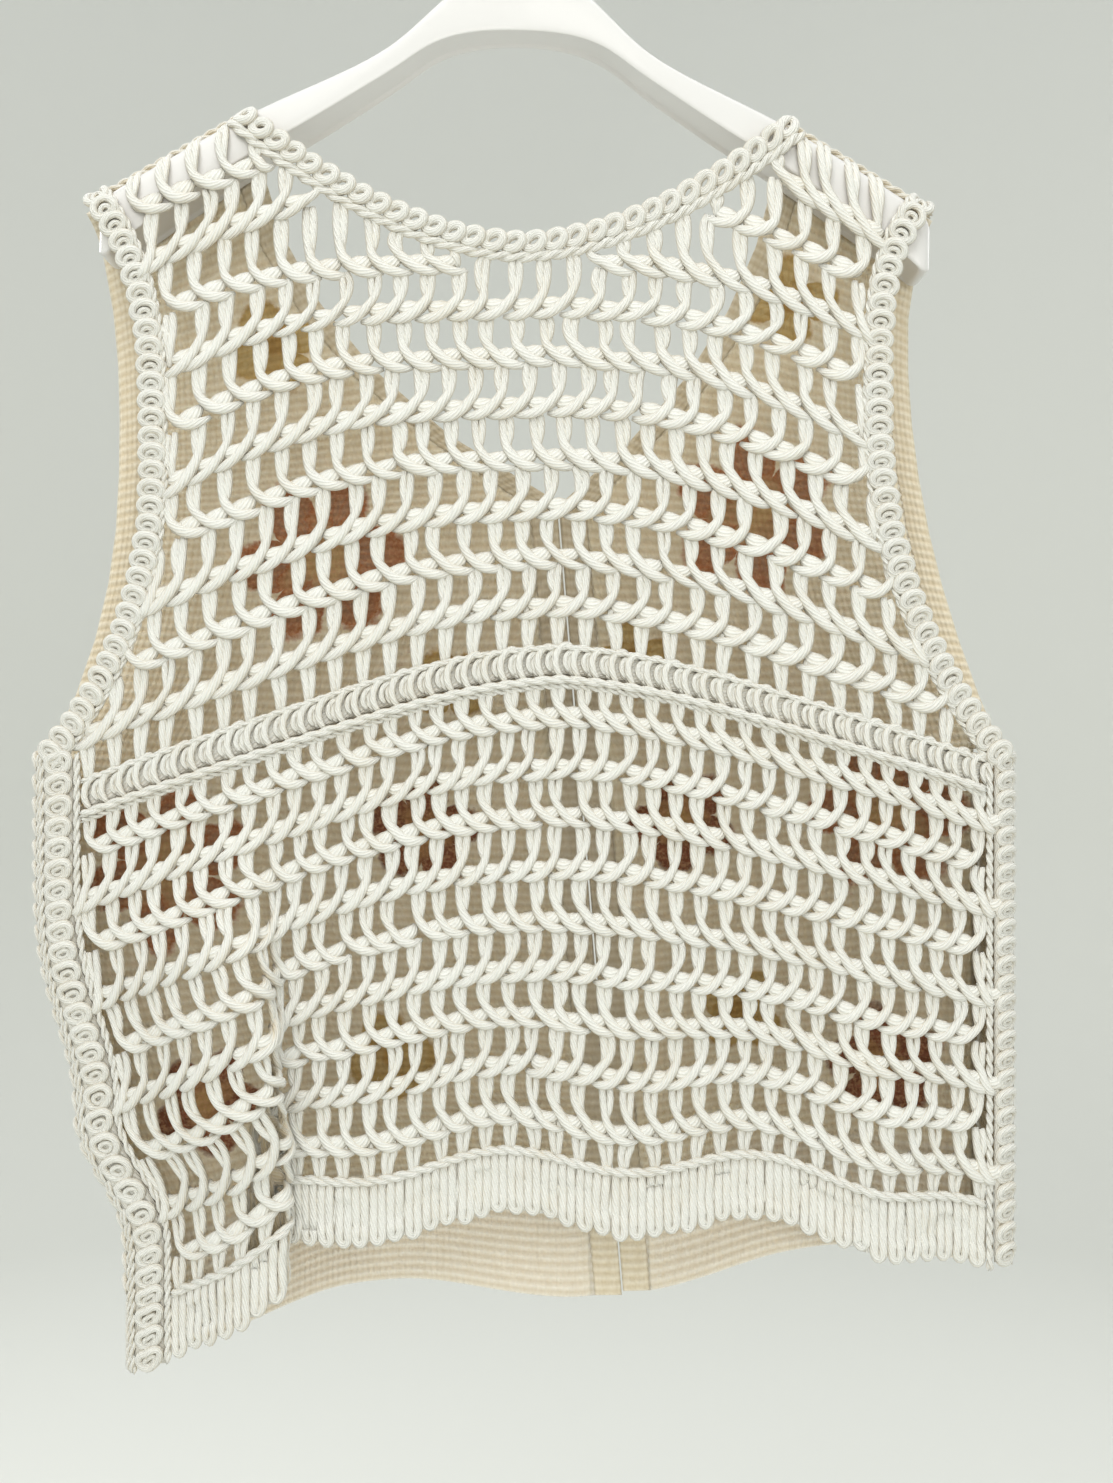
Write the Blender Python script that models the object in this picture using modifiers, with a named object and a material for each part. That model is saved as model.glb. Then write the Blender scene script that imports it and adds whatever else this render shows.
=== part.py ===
"""Sleeveless crochet top, open down the front, hanging on a broad plastic hanger.

The back of the garment faces -Y, +Z is up, and the origin is the point where the hook bears on its rod.
Sizes are in millimetres and are turned to metres as each mesh is made.

Cloth is placed by two numbers: s, the distance along a course from the X = 0 line (negative to the left),
and t, the height of that course at the middle of the back. The sections, the pleat and the falling
courses are worked out from the short tables below.
"""

import math

import bmesh
import bpy
import numpy as np

MM = 0.001

# --- Driving sizes, in mm ---------------------------------------------------------------------------
WALL = 2.4  # thickness of the lace and knit walls
TRIM_WALL = 3.0  # the ring edgings and bands are thicker
GAP = 0.4  # between pieces at a seam
HEM_GAP = 0.9  # between lace and hem, where the pleat turns the two apart
CENTRE = 18.0  # s of the highest point of the courses

SHOULDER_RADIUS = 17.5  # the cloth bends over the hanger's arms at this radius
RIDGE_TOP, RIDGE_SLOPE, RIDGE_ROLL, RIDGE_CENTRE = -64.0, 0.59, 0.021, -3.0
TIP_LEFT, TIP_RIGHT = -212.0, 199.0  # shoulder tips
SEAM_REACH = 4.2  # half the width that the shoulder seam takes on the ridge
SEAM_RADIUS = 2.8
SEAM_LIFT = 1.2
ROUND_ROWS = (30.0, 50.0, 70.0, 90.0)  # degrees round the arm at which the cloth has rows
NECK_END_SPACING = 0.7  # the neckline's way along X for each unit that it drops from the ridge

NECKLINE_DEPTH, NECKLINE_HALF, NECKLINE_RISE, NECKLINE_POWER = -200.0, 131.0, 61.0, 1.8
NECK_TRIM, NECK_GAP = 14.0, 0.9  # width of the ring edgings and bands
ARMHOLE_TRIM = 13.0
FRONT_BAND = 13.0
FRONT_ARMHOLE_BAND = 10.0

BAND_TOP, BAND_FOOT = -397.0, -414.0  # the yoke band
HEM_TOP, HEM_FOOT = -641.0, -674.0

PANEL_LEFT, PANEL_RIGHT = -212.0, 222.0  # s where the lace ends and the side strips start
STRIP_WIDTH = 42.0
SIDE_TURN_LEFT, SIDE_TURN_RIGHT, SIDE_TURN = -224.0, 225.0, 34.6  # where the strips turn, over what length
UNDERARM = -447.0
SIDE_TAPER, SIDE_TAPER_START, SIDE_TAPER_LENGTH = 6.5, 165.0, 60.0  # back and front close up to the sides

FLUTE_DEPTH, FLUTE_LIFT, FLUTE_PITCH, FLUTE_CREST = 4.0, 4.5, 122.0, 112.0  # soft flutes at the hem
FLUTE_START, FLUTE_FULL = -500.0, -645.0

# The pleat at the left: the cloth turns back under itself, more and more towards the hem.
FOLD_TURN, FOLD_RETURN = 9.0, 13.0  # length of each of its two turns, and of the layer between them
FOLD_START, FOLD_EDGE_ON, FOLD_FULL = -430.0, -555.0, -618.0
FOLD_S_TOP, FOLD_S_FOOT = -111.0, -127.0

# Each course: its height at the centre, then how far out it starts to fall and how steeply, on each side.
COURSES = (
    # height, left knee, left fall, right knee, right fall
    (-73.0, 0.0, 0.53, 0.0, 0.72),
    (-135.0, 60.0, 0.40, 40.0, 0.64),
    (-178.0, 130.0, 0.53, 60.0, 0.55),
    (-214.0, 150.0, 0.50, 85.0, 0.53),
    (-259.0, 135.0, 0.62, 70.0, 0.52),
    (-308.0, 100.0, 0.43, 55.0, 0.42),
    (-410.0, 35.0, 0.35, 30.0, 0.325),
    (-540.0, 80.0, 0.42, 40.0, 0.225),
    (-641.0, 135.0, 0.68, 110.0, 0.24),
    (-680.0, 135.0, 0.68, 110.0, 0.24),
)
KNEE_SOFTNESS = 50.0

# Each armhole edge: its narrowest place, then how far it flares above and below that, over what height.
ARMHOLES = {
    # name: waist x, waist z, upper flare, upper reach, upper power, lower flare, lower reach, lower power
    "back_left": (-183.0, -310.0, -29.0, 127.0, 3.5, -51.0, 137.0, 2.3),
    "back_right": (176.0, -285.0, 23.0, 99.0, 4.0, 60.0, 162.0, 2.23),
    "front_left": (-201.0, -300.0, -14.0, 118.0, 2.5, -33.0, 147.0, 2.3),
    "front_right": (191.0, -245.0, 10.0, 60.0, 2.0, 45.0, 202.0, 2.0),
}

FRONT_NECK_FOOT, FRONT_NECK_TOP = -317.0, -139.0  # the V neck
FRONT_NECK_POWER, FRONT_NECK_ROUND = 1.8, 0.75
CENTRE_TOP_X, CENTRE_FOOT_X = 16.0, 49.0  # the open centre front slants to the right
CENTRE_OPENING = 1.2  # half the space between the two fronts
FRONT_UPPER = 264.0  # height of a front's armhole
FRONT_UNDERARM = -455.0  # height of the centre edge where a front's course starts at the underarm
FRONT_FOOT = {
    # name: hem z at the centre front, rise of the hem between there and the side
    "left": (-719.0, 22.0),
    "right": (-717.0, 13.0),
}

# The hanger's half outline: distance from its middle, top, foot and depth.
HANGER_SECTIONS = (
    (0.0, -60.0, -102.0, 21.0),
    (9.0, -61.0, -102.2, 21.5),
    (16.0, -65.0, -102.6, 22.0),
    (30.0, -78.0, -104.5, 23.0),
    (44.0, -92.0, -110.0, 24.5),
    (58.0, -107.0, -121.5, 26.5),
    (76.0, -118.5, -133.0, 28.5),
    (100.0, -129.5, -149.0, 30.0),
    (127.0, -141.8, -165.0, 31.0),
    (155.0, -158.2, -184.0, 31.0),
    (180.0, -173.0, -202.0, 31.0),
    (194.0, -181.6, -213.0, 30.0),
    (200.0, -187.5, -215.0, 26.0),
    (202.0, -195.0, -211.0, 18.0),
)
HANGER_CROWN, HANGER_FOOT_ROUND = 0.72, 0.45  # how round its top and its foot are
HANGER_ROLL = math.radians(1.2)  # it hangs a little lower at the right
WIRE = 4.2  # diameter of the hook's wire
HOOK_INSIDE = 17.0  # radius inside the hook's bend
HOOK_START, HOOK_END, HOOK_STEPS = -25.0, 190.0, 16  # degrees that the hook's bend runs through
HOOK_SUNK = 0.9  # how far the stem stands clear inside the hanger's neck
HOOK_STEM = ((0.0, -46.0), (4.0, -39.0), (12.0, -31.5))  # x, z from the hanger up to the bend
HOOK_TIP = ((-18.6, -24.0), (-20.6, -29.0))  # x, z of the turned-out tip

# --- The form of the cloth -------------------------------------------------------------------------


def smooth(value, start, end):
    """0 before start, 1 after end, and a soft step between them."""
    part = np.clip((value - start) / (end - start), 0.0, 1.0)
    return part * part * (3.0 - 2.0 * part)


def ridge(x):
    """Height of the cloth where it passes over the top of the hanger's arms."""
    return RIDGE_TOP - RIDGE_SLOPE * np.abs(x - RIDGE_CENTRE) - RIDGE_ROLL * x


def neckline(x):
    """Height of the outer edge of the back neckline."""
    return NECKLINE_DEPTH + NECKLINE_RISE * (np.abs(x) / NECKLINE_HALF) ** NECKLINE_POWER


def armhole(name, z):
    """X of an armhole's outer edge at height z."""
    waist_x, waist_z, up, up_reach, up_power, low, low_reach, low_power = ARMHOLES[name]
    above = np.clip((z - waist_z) / up_reach, 0.0, 1.0)
    below = np.clip((waist_z - z) / low_reach, 0.0, None)
    return waist_x + up * above**up_power + low * below**low_power


def course_values(t):
    """Knee and fall of the course at t, on the left and on the right."""
    table = np.array(COURSES)[::-1]
    return [np.interp(t, table[:, 0], table[:, column]) for column in range(1, 5)]


def bent(distance, knee):
    """A line that stays level up to the knee and then rises at 1 in 1, rounded at the knee."""
    start = 0.5 * (np.sqrt(knee**2 + KNEE_SOFTNESS**2) - knee)
    return 0.5 * (distance - knee + np.sqrt((distance - knee) ** 2 + KNEE_SOFTNESS**2)) - start


def flute(x, t):
    """From -1 to 1 along the hem's soft flutes, fading out above it."""
    strength = smooth(-t, -FLUTE_START, -FLUTE_FULL)
    return strength * np.cos(2.0 * math.pi * (x - FLUTE_CREST) / FLUTE_PITCH)


def height(s, t):
    """Height of a point of the course t at s."""
    left_knee, left_fall, right_knee, right_fall = course_values(t)
    left = np.clip(CENTRE - s, 0.0, CENTRE - SIDE_TURN_LEFT)
    right = np.clip(s - CENTRE, 0.0, SIDE_TURN_RIGHT - CENTRE)
    fall = left_fall * bent(left, left_knee) + right_fall * bent(right, right_knee)
    inside = 1.0 - smooth(np.abs(s), SIDE_TAPER_START, SIDE_TAPER_START + SIDE_TAPER_LENGTH)
    return t - fall + FLUTE_LIFT * inside * flute(s, t)


def fold_angle(t):
    """How far the pleat turns the cloth round: 90 degrees is edge on, 180 lies flat on itself."""
    edge_on = smooth(-t, -FOLD_START, -FOLD_EDGE_ON)
    full = smooth(-t, -FOLD_EDGE_ON, -FOLD_FULL)
    return math.radians(90.0) * (edge_on + 0.97 * full)


def section(t):
    """The section of the garment's back and sides at the course t: s, x and y along it."""
    s = np.arange(PANEL_LEFT - STRIP_WIDTH - 2.0, PANEL_RIGHT + STRIP_WIDTH + 2.5, 0.5)
    fold_s = FOLD_S_TOP + (FOLD_S_FOOT - FOLD_S_TOP) * smooth(-t, -FOLD_EDGE_ON, -FOLD_FULL)
    into_fold = fold_s - s
    fold_length = 2.0 * FOLD_TURN + FOLD_RETURN
    turned = np.clip(into_fold / FOLD_TURN, 0, 1) * np.clip((fold_length - into_fold) / FOLD_TURN, 0, 1)
    heading = fold_angle(t) * turned
    heading += math.pi * np.clip((s - SIDE_TURN_RIGHT) / SIDE_TURN, 0, 1)
    heading += math.pi * np.clip((SIDE_TURN_LEFT - s) / SIDE_TURN, 0, 1)
    from_fold = s < fold_s
    away = np.where(from_fold & (s > SIDE_TURN_LEFT), -1.0, 1.0)
    step = s[1] - s[0]
    dx = np.cos(heading) * step
    dy = np.sin(heading) * step * away
    middle = int(np.argmin(np.abs(s - CENTRE)))
    x = np.zeros_like(s)
    y = np.zeros_like(s)
    x[middle] = CENTRE
    x[middle + 1 :] = CENTRE + np.cumsum(0.5 * (dx[middle:-1] + dx[middle + 1 :]))
    y[middle + 1 :] = np.cumsum(0.5 * (dy[middle:-1] + dy[middle + 1 :]))
    x[:middle] = CENTRE - np.cumsum(0.5 * (dx[:middle] + dx[1 : middle + 1])[::-1])[::-1]
    y[:middle] = np.cumsum(0.5 * (dy[:middle] + dy[1 : middle + 1])[::-1])[::-1]
    # The flap comes back to the depth of the side seam.
    flap = smooth(fold_s - fold_length - s, 0.0, fold_s - fold_length - PANEL_LEFT)
    y -= np.interp(PANEL_LEFT, s, y) * flap
    y += SIDE_TAPER * smooth(np.abs(s), SIDE_TAPER_START, SIDE_TAPER_START + SIDE_TAPER_LENGTH)
    inside = 1.0 - smooth(np.abs(s), SIDE_TAPER_START, SIDE_TAPER_START + SIDE_TAPER_LENGTH)
    y += FLUTE_DEPTH * inside * flute(s, t)
    return s, x, y - SHOULDER_RADIUS


def back_point(s, t):
    """Point of the back below the yoke, and of the side strips."""
    along, x, y = section(t)
    return np.interp(s, along, x), np.interp(s, along, y), height(s, t)


def hung_depth(x, z, side):
    """Depth of the upper back (side -1) or front (side 1): round the hanger's arm, then straight down."""
    below = np.clip((ridge(x) - z) / SHOULDER_RADIUS, 0.0, 1.0)
    round_part = SHOULDER_RADIUS * math.sqrt(1.0 - (1.0 - below) ** 2)
    taper = SIDE_TAPER * smooth(abs(x), SIDE_TAPER_START, SIDE_TAPER_START + SIDE_TAPER_LENGTH)
    return side * (round_part - taper * smooth(-z, 220.0, 330.0))


def height_at_reach(x, reach):
    """Height of the cloth at this distance along it from the ridge, on a shoulder."""
    return ridge(x) - SHOULDER_RADIUS * (1.0 - math.cos(reach / SHOULDER_RADIUS))


def armhole_line(name, inset, top_z, foot_z, count):
    """Points (x, z) of an armhole's edge from its top to its foot, moved into the cloth by inset."""
    z = np.linspace(top_z, foot_z, count)
    x = armhole(name, z)
    slope = np.gradient(x, z)
    inward = 1.0 if name.endswith("left") else -1.0
    length = np.sqrt(1.0 + slope**2)
    return x + inward * inset / length, z - inward * inset * slope / length


def armhole_inside(name, z, inset):
    """X at height z of the line that runs inset inside an armhole's edge."""
    line_x, line_z = armhole_line(name, inset, ARMHOLES[name][1] + 140.0, UNDERARM - 25.0, 160)
    order = np.argsort(line_z)
    return float(np.interp(z, line_z[order], line_x[order]))


def shoulder_corner(hole, inset):
    """The corner (x, z) of a piece at the outer end of a shoulder, inset inside the armhole's edge."""
    x = TIP_LEFT if hole.endswith("left") else TIP_RIGHT
    for _ in range(6):
        x = armhole_inside(hole, height_at_reach(x, SEAM_REACH), inset)
    return x, height_at_reach(x, SEAM_REACH)


def lace_edge(side, v):
    """The lace's edge (x, z) at one side, from the shoulder at v = 0 down to the yoke band at v = 1."""
    hole = f"back_{side}"
    limit = PANEL_LEFT if side == "left" else PANEL_RIGHT
    inset = ARMHOLE_TRIM + GAP
    top_x, top_z = shoulder_corner(hole, inset)
    z = top_z + (float(height(limit, BAND_TOP + GAP)) - top_z) * v
    x = armhole_inside(hole, z, inset) if v > 0.0 else top_x
    return (max(x, limit) if side == "left" else min(x, limit)), z


def neckline_inside(x, inset):
    """Height at x of the line that runs inset below the neckline's edge."""
    steepness = (abs(x) / NECKLINE_HALF) ** (NECKLINE_POWER - 1)
    slope = NECKLINE_RISE * NECKLINE_POWER / NECKLINE_HALF * steepness
    return float(neckline(x)) - inset * math.sqrt(1.0 + slope * slope)


def neck_end(side, inset):
    """X where the line that runs inset below the neckline meets the shoulder seam."""
    sign = -1.0 if side == "left" else 1.0
    reach = np.linspace(100.0, 180.0, 321)
    gaps = [neckline_inside(sign * r, inset) - height_at_reach(sign * r, SEAM_REACH) for r in reach]
    return sign * float(np.interp(0.0, gaps, reach))


def shoulder_drops():
    """Heights below the ridge of the rows that take the cloth round the hanger's arm."""
    angles = [math.radians(degrees) for degrees in ROUND_ROWS]
    return [SHOULDER_RADIUS * (1.0 - math.cos(angle)) for angle in angles]


def neck_columns(left, right):
    """X of columns along the neckline, closer at its ends where it climbs onto the hanger's arms."""
    steps = [drop * NECK_END_SPACING for drop in shoulder_drops()]
    middle = spread(left + steps[-1], right - steps[-1], 15)
    rising = [right - step for step in steps[-2::-1]]
    return [left, *(left + step for step in steps[:-1]), *middle, *rising, right]


def yoke_tops():
    """X of the top of each column of the lace: along one shoulder, the neckline and the other shoulder."""
    inset = NECK_TRIM + NECK_GAP
    neck_left, neck_right = neck_end("left", inset), neck_end("right", inset)
    left, _ = lace_edge("left", 0.0)
    right, _ = lace_edge("right", 0.0)
    shoulders = spread(left, neck_left, 4)[:-1], spread(neck_right, right, 4)[1:]
    return shoulders[0], neck_columns(neck_left, neck_right), shoulders[1]


def yoke_point(top_x, v):
    """Point of the upper back on the column that starts at top_x: v from its top to the yoke band."""
    inset = NECK_TRIM + NECK_GAP
    shoulder = top_x <= neck_end("left", inset) + 0.01 or top_x >= neck_end("right", inset) - 0.01
    top_z = height_at_reach(top_x, SEAM_REACH) if shoulder else neckline_inside(top_x, inset)
    left, right = lace_edge("left", 0.0)[0], lace_edge("right", 0.0)[0]
    u = (top_x - left) / (right - left)
    foot_z = float(height(PANEL_LEFT + (PANEL_RIGHT - PANEL_LEFT) * u, BAND_TOP + GAP))
    z = top_z + (foot_z - top_z) * v
    left, right = lace_edge("left", v)[0], lace_edge("right", v)[0]
    x = left + (right - left) * u
    return x, hung_depth(x, z, -1.0), z


def yoke_foot(top_x):
    """Place along the yoke band of the foot of the column that starts at top_x."""
    left, right = lace_edge("left", 0.0)[0], lace_edge("right", 0.0)[0]
    return PANEL_LEFT + (PANEL_RIGHT - PANEL_LEFT) * (top_x - left) / (right - left)


def yoke_rows():
    """How far down its columns each row of the lace lies, one of them at the underarm."""
    _, top_z = lace_edge("left", 0.0)
    _, foot_z = lace_edge("left", 1.0)
    underarm = (UNDERARM + GAP - top_z) / (foot_z - top_z)
    shoulder = [drop / (top_z - foot_z) for drop in shoulder_drops()]
    return [0.0, *shoulder[:-1], *spread(shoulder[-1], underarm, 12), 1.0]


def strip_level(s):
    """Course of the side strip's top edge at s, level with the underarm."""
    levels = np.linspace(HEM_TOP, BAND_TOP + 90.0, 120)
    heights = np.array([float(height(s, t)) for t in levels])
    return float(np.interp(UNDERARM - GAP, heights, levels))


def strip_point(s, t):
    """Point of a side strip: None for t stands for its top edge."""
    return back_point(s, strip_level(s) if t is None else t)


def body_rows():
    """Courses of the lower back's rows."""
    return spread(BAND_FOOT, HEM_TOP + HEM_GAP, 10)


def strip_rows():
    """Rows of a side strip, each where the back's own pieces have one."""
    return [None, BAND_TOP, *body_rows()[:-1], HEM_TOP, 0.5 * (HEM_TOP + HEM_FOOT), HEM_FOOT]


def spread(start, end, count):
    """Evenly spaced values from start to end."""
    return [float(value) for value in np.linspace(start, end, count)]


# --- Making objects --------------------------------------------------------------------------------


def material(name, colour, roughness, metallic=0.0):
    """A Principled material of one colour."""
    made = bpy.data.materials.new(name)
    made.use_nodes = True
    shader = made.node_tree.nodes["Principled BSDF"]
    shader.inputs["Base Color"].default_value = (*colour, 1.0)
    shader.inputs["Roughness"].default_value = roughness
    shader.inputs["Metallic"].default_value = metallic
    made.diffuse_color = (*colour, 1.0)
    return made


def add(name, data, looks, collection):
    """A new object in the garment's collection."""
    piece = bpy.data.objects.new(name, data)
    piece.data.materials.append(looks)
    collection.objects.link(piece)
    return piece


def sheet(name, across, down, place, wall, looks, collection):
    """A wall of cloth: a grid whose points are put in place by place(across, down), made thick."""
    grid = bmesh.new()
    bmesh.ops.create_grid(grid, x_segments=len(across) - 1, y_segments=len(down) - 1, size=0.5)
    for vertex in grid.verts:
        column = round((vertex.co.x + 0.5) * (len(across) - 1))
        row = round((0.5 - vertex.co.y) * (len(down) - 1))
        vertex.co = [float(value) * MM for value in place(across[column], down[row])]
    mesh = bpy.data.meshes.new(name)
    grid.to_mesh(mesh)
    grid.free()
    piece = add(name, mesh, looks, collection)
    thick = piece.modifiers.new("Wall", "SOLIDIFY")
    thick.thickness = wall * MM
    thick.offset = 0.0
    thick.use_even_offset = True
    mesh.shade_smooth()
    return piece


def build_back(cotton, collection):
    """The lace back, its yoke band and its hem."""
    tops = [top for part in yoke_tops() for top in part]
    sheet("back_yoke", tops, yoke_rows(), yoke_point, WALL, cotton, collection)

    fold_left = FOLD_S_FOOT - 2.0 * FOLD_TURN - FOLD_RETURN
    feet = [yoke_foot(top) for top in tops]
    pleated = [foot for foot in feet if foot < fold_left - 4.0]
    pleated += spread(fold_left, FOLD_S_TOP + 3.0, 21)
    pleated += [foot for foot in feet if foot > FOLD_S_TOP + 6.0]
    band_rows = spread(BAND_TOP, BAND_FOOT + GAP, 2)
    sheet("yoke_band", pleated, band_rows, back_point, TRIM_WALL, cotton, collection)
    sheet("back_body", pleated, body_rows(), back_point, WALL, cotton, collection)
    hem_rows = spread(HEM_TOP, HEM_FOOT, 3)
    sheet("back_hem", pleated, hem_rows, back_point, WALL, cotton, collection)


def build_neck_trim(cotton, collection):
    """The ring edging of the back neck, from one shoulder seam to the other."""
    edges = {}
    for inset in (0.0, NECK_TRIM):
        edges[inset] = neck_columns(neck_end("left", inset), neck_end("right", inset))

    def place(column, inset):
        x = edges[inset][column]
        z = neckline_inside(x, inset)
        return x, hung_depth(x, z, -1.0), z

    sheet("neck_trim", list(range(len(edges[0.0]))), list(edges), place, TRIM_WALL, cotton, collection)


def build_armhole_trims(cotton, collection):
    """The ring edgings down the back half of each armhole."""
    tops = yoke_tops()
    rows = yoke_rows()[:-1]
    for side, top_x in (("left", tops[0][0]), ("right", tops[2][-1])):
        outward = -1.0 if side == "left" else 1.0

        def place(v, edge, side=side, top_x=top_x, outward=outward):
            if edge == "inner":
                x, _, z = yoke_point(top_x, v)
                x += outward * GAP
            else:
                x, top = shoulder_corner(f"back_{side}", 0.0)
                z = top + (UNDERARM + GAP - top) * v / rows[-1]
                x = float(armhole(f"back_{side}", z)) if v > 0.0 else x
            return x, hung_depth(x, z, -1.0), z

        sheet(f"armhole_trim_{side}", rows, ["outer", "inner"], place, TRIM_WALL, cotton, collection)


def build_side_strips(cotton, collection):
    """The ring insertions under the arms, which turn from the back to the front."""
    for name, start, sign in (("left", PANEL_LEFT, -1.0), ("right", PANEL_RIGHT, 1.0)):
        across = spread(start + sign * GAP, start + sign * STRIP_WIDTH, 9)
        sheet(f"side_strip_{name}", across, strip_rows(), strip_point, TRIM_WALL, cotton, collection)


def rope(name, points, radius, looks, collection):
    """A round rope along these points, in mm."""
    curve = bpy.data.curves.new(name, "CURVE")
    curve.dimensions = "3D"
    curve.bevel_depth = radius * MM
    curve.bevel_resolution = 2
    curve.use_fill_caps = True
    spline = curve.splines.new("POLY")
    spline.points.add(len(points) - 1)
    for target, point in zip(spline.points, points):
        target.co = (*(float(value) * MM for value in point), 1.0)
    return add(name, curve, looks, collection)


def build_shoulder_seams(cotton, collection):
    """The rope seams along the tops of the shoulders."""
    for name, tip in (("left", TIP_LEFT), ("right", TIP_RIGHT)):
        points = [(x, 0.0, float(ridge(x)) + SEAM_LIFT) for x in np.linspace(neck_end(name, 0.0), tip, 6)]
        rope(f"shoulder_seam_{name}", points, SEAM_RADIUS, cotton, collection)


# --- Fronts ----------------------------------------------------------------------------------------


def front_neck(side, z, inset):
    """X of the V neck and centre front edge at height z, moved into the cloth by inset."""
    sign = -1.0 if side == "left" else 1.0
    reach = abs(neck_end(side, 0.0) - CENTRE_TOP_X)
    part = np.clip((FRONT_NECK_TOP - z) / (FRONT_NECK_TOP - FRONT_NECK_FOOT), 0.0, 1.0)
    slant = np.clip((FRONT_NECK_FOOT - z) / (FRONT_NECK_FOOT - FRONT_FOOT["left"][0]), 0.0, 1.0)
    centre = CENTRE_TOP_X + (CENTRE_FOOT_X - CENTRE_TOP_X) * slant
    open_neck = reach * (1.0 - part**FRONT_NECK_POWER) ** FRONT_NECK_ROUND
    return float(centre + sign * (open_neck + CENTRE_OPENING + inset))


def front_course(side, v, inset):
    """Both ends (x, z) of a front's course: v is 0 at the shoulder, 1 at the underarm, 2 at the hem."""
    hole = f"front_{side}"
    outward = -1.0 if side == "left" else 1.0
    end = PANEL_LEFT - STRIP_WIDTH if side == "left" else PANEL_RIGHT + STRIP_WIDTH
    neck_x = neck_end(side, 0.0) + outward * inset
    inner_top = height_at_reach(neck_x, SEAM_REACH)
    strip = strip_rows()
    if v <= 1.0:
        _, outer_top = shoulder_corner(hole, FRONT_ARMHOLE_BAND + GAP)
        outer_z = outer_top + (UNDERARM + GAP - outer_top) * v
        outer_x = armhole_inside(hole, outer_z, FRONT_ARMHOLE_BAND + GAP)
        strip_x = float(strip_point(end, None)[0]) - outward * GAP
        outer_x = outward * min(outward * outer_x, outward * strip_x)
        inner_z = inner_top + (FRONT_UNDERARM - inner_top) * v
    else:
        row = round((v - 1.0) * (len(strip) - 1))
        outer_x, _, outer_z = (float(value) for value in strip_point(end, strip[row]))
        outer_x -= outward * GAP
        inner_z = FRONT_UNDERARM + (FRONT_FOOT[side][0] - FRONT_UNDERARM) * (v - 1.0)
    inner_x = neck_x if v == 0.0 else front_neck(side, inner_z, inset)
    return outer_x, outer_z, inner_x, inner_z


def front_rows():
    """Rows of a front: v for front_course."""
    shoulder = [drop / FRONT_UPPER for drop in shoulder_drops()]
    strip = len(strip_rows()) - 1
    upper = [0.0, *shoulder[:-1], *spread(shoulder[-1], 1.0, 10)]
    return upper + [1.0 + step / strip for step in range(1, strip + 1)]


def front_point(side, u, v):
    """Point of a front: u from its armhole or side to its centre edge, v from its shoulder to its hem."""
    outer_x, outer_z, inner_x, inner_z = front_course(side, v, FRONT_BAND + GAP)
    rise = FRONT_FOOT[side][1] * smooth(v, 1.2, 2.0) * math.sin(math.pi * min(u, 1.0)) ** 2
    x = outer_x + (inner_x - outer_x) * u
    z = outer_z + (inner_z - outer_z) * u + rise
    return x, hung_depth(x, z, 1.0), z


def build_fronts(knit, cotton, collection):
    """The close-knit fronts, their neck and centre bands and their armhole bands."""
    rows = front_rows()
    for side in ("left", "right"):
        outward = -1.0 if side == "left" else 1.0

        def panel(u, v, side=side):
            return front_point(side, u, v)

        def band(v, inset, side=side):
            _, _, x, z = front_course(side, v, inset)
            return x, hung_depth(x, z, 1.0), z

        def hole(v, edge, side=side, outward=outward):
            if edge == "inner":
                x, z, _, _ = front_course(side, v, FRONT_BAND)
                x += outward * GAP
            else:
                x, top = shoulder_corner(f"front_{side}", 0.0)
                z = top + (UNDERARM + GAP - top) * v
                x = float(armhole(f"front_{side}", z)) if v > 0.0 else x
            return x, hung_depth(x, z, 1.0), z

        sheet(f"front_{side}", spread(0.0, 1.0, 12), rows, panel, WALL, knit, collection)
        sheet(f"front_band_{side}", rows, [FRONT_BAND, 0.0], band, TRIM_WALL, cotton, collection)
        upper_rows = [v for v in rows if v <= 1.0]
        name = f"front_armhole_band_{side}"
        sheet(name, upper_rows, ["outer", "inner"], hole, TRIM_WALL, cotton, collection)


# --- Hanger ----------------------------------------------------------------------------------------


def hanger_ring(x, top, foot, depth, count=16):
    """A section of the hanger: a round top that fits the cloth, and a flatter foot."""
    half = 0.5 * depth
    crown = min(half, HANGER_CROWN * (top - foot))
    points = []
    for step in range(count):
        angle = 2.0 * math.pi * step / count
        across, up = math.cos(angle), math.sin(angle)
        if up >= 0.0:
            points.append((x, half * across, top - crown + crown * up))
        else:
            side = math.copysign(abs(across) ** HANGER_FOOT_ROUND, across)
            drop = (top - foot - crown) * abs(up) ** HANGER_FOOT_ROUND
            points.append((x, half * side, top - crown - drop))
    return points


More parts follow.
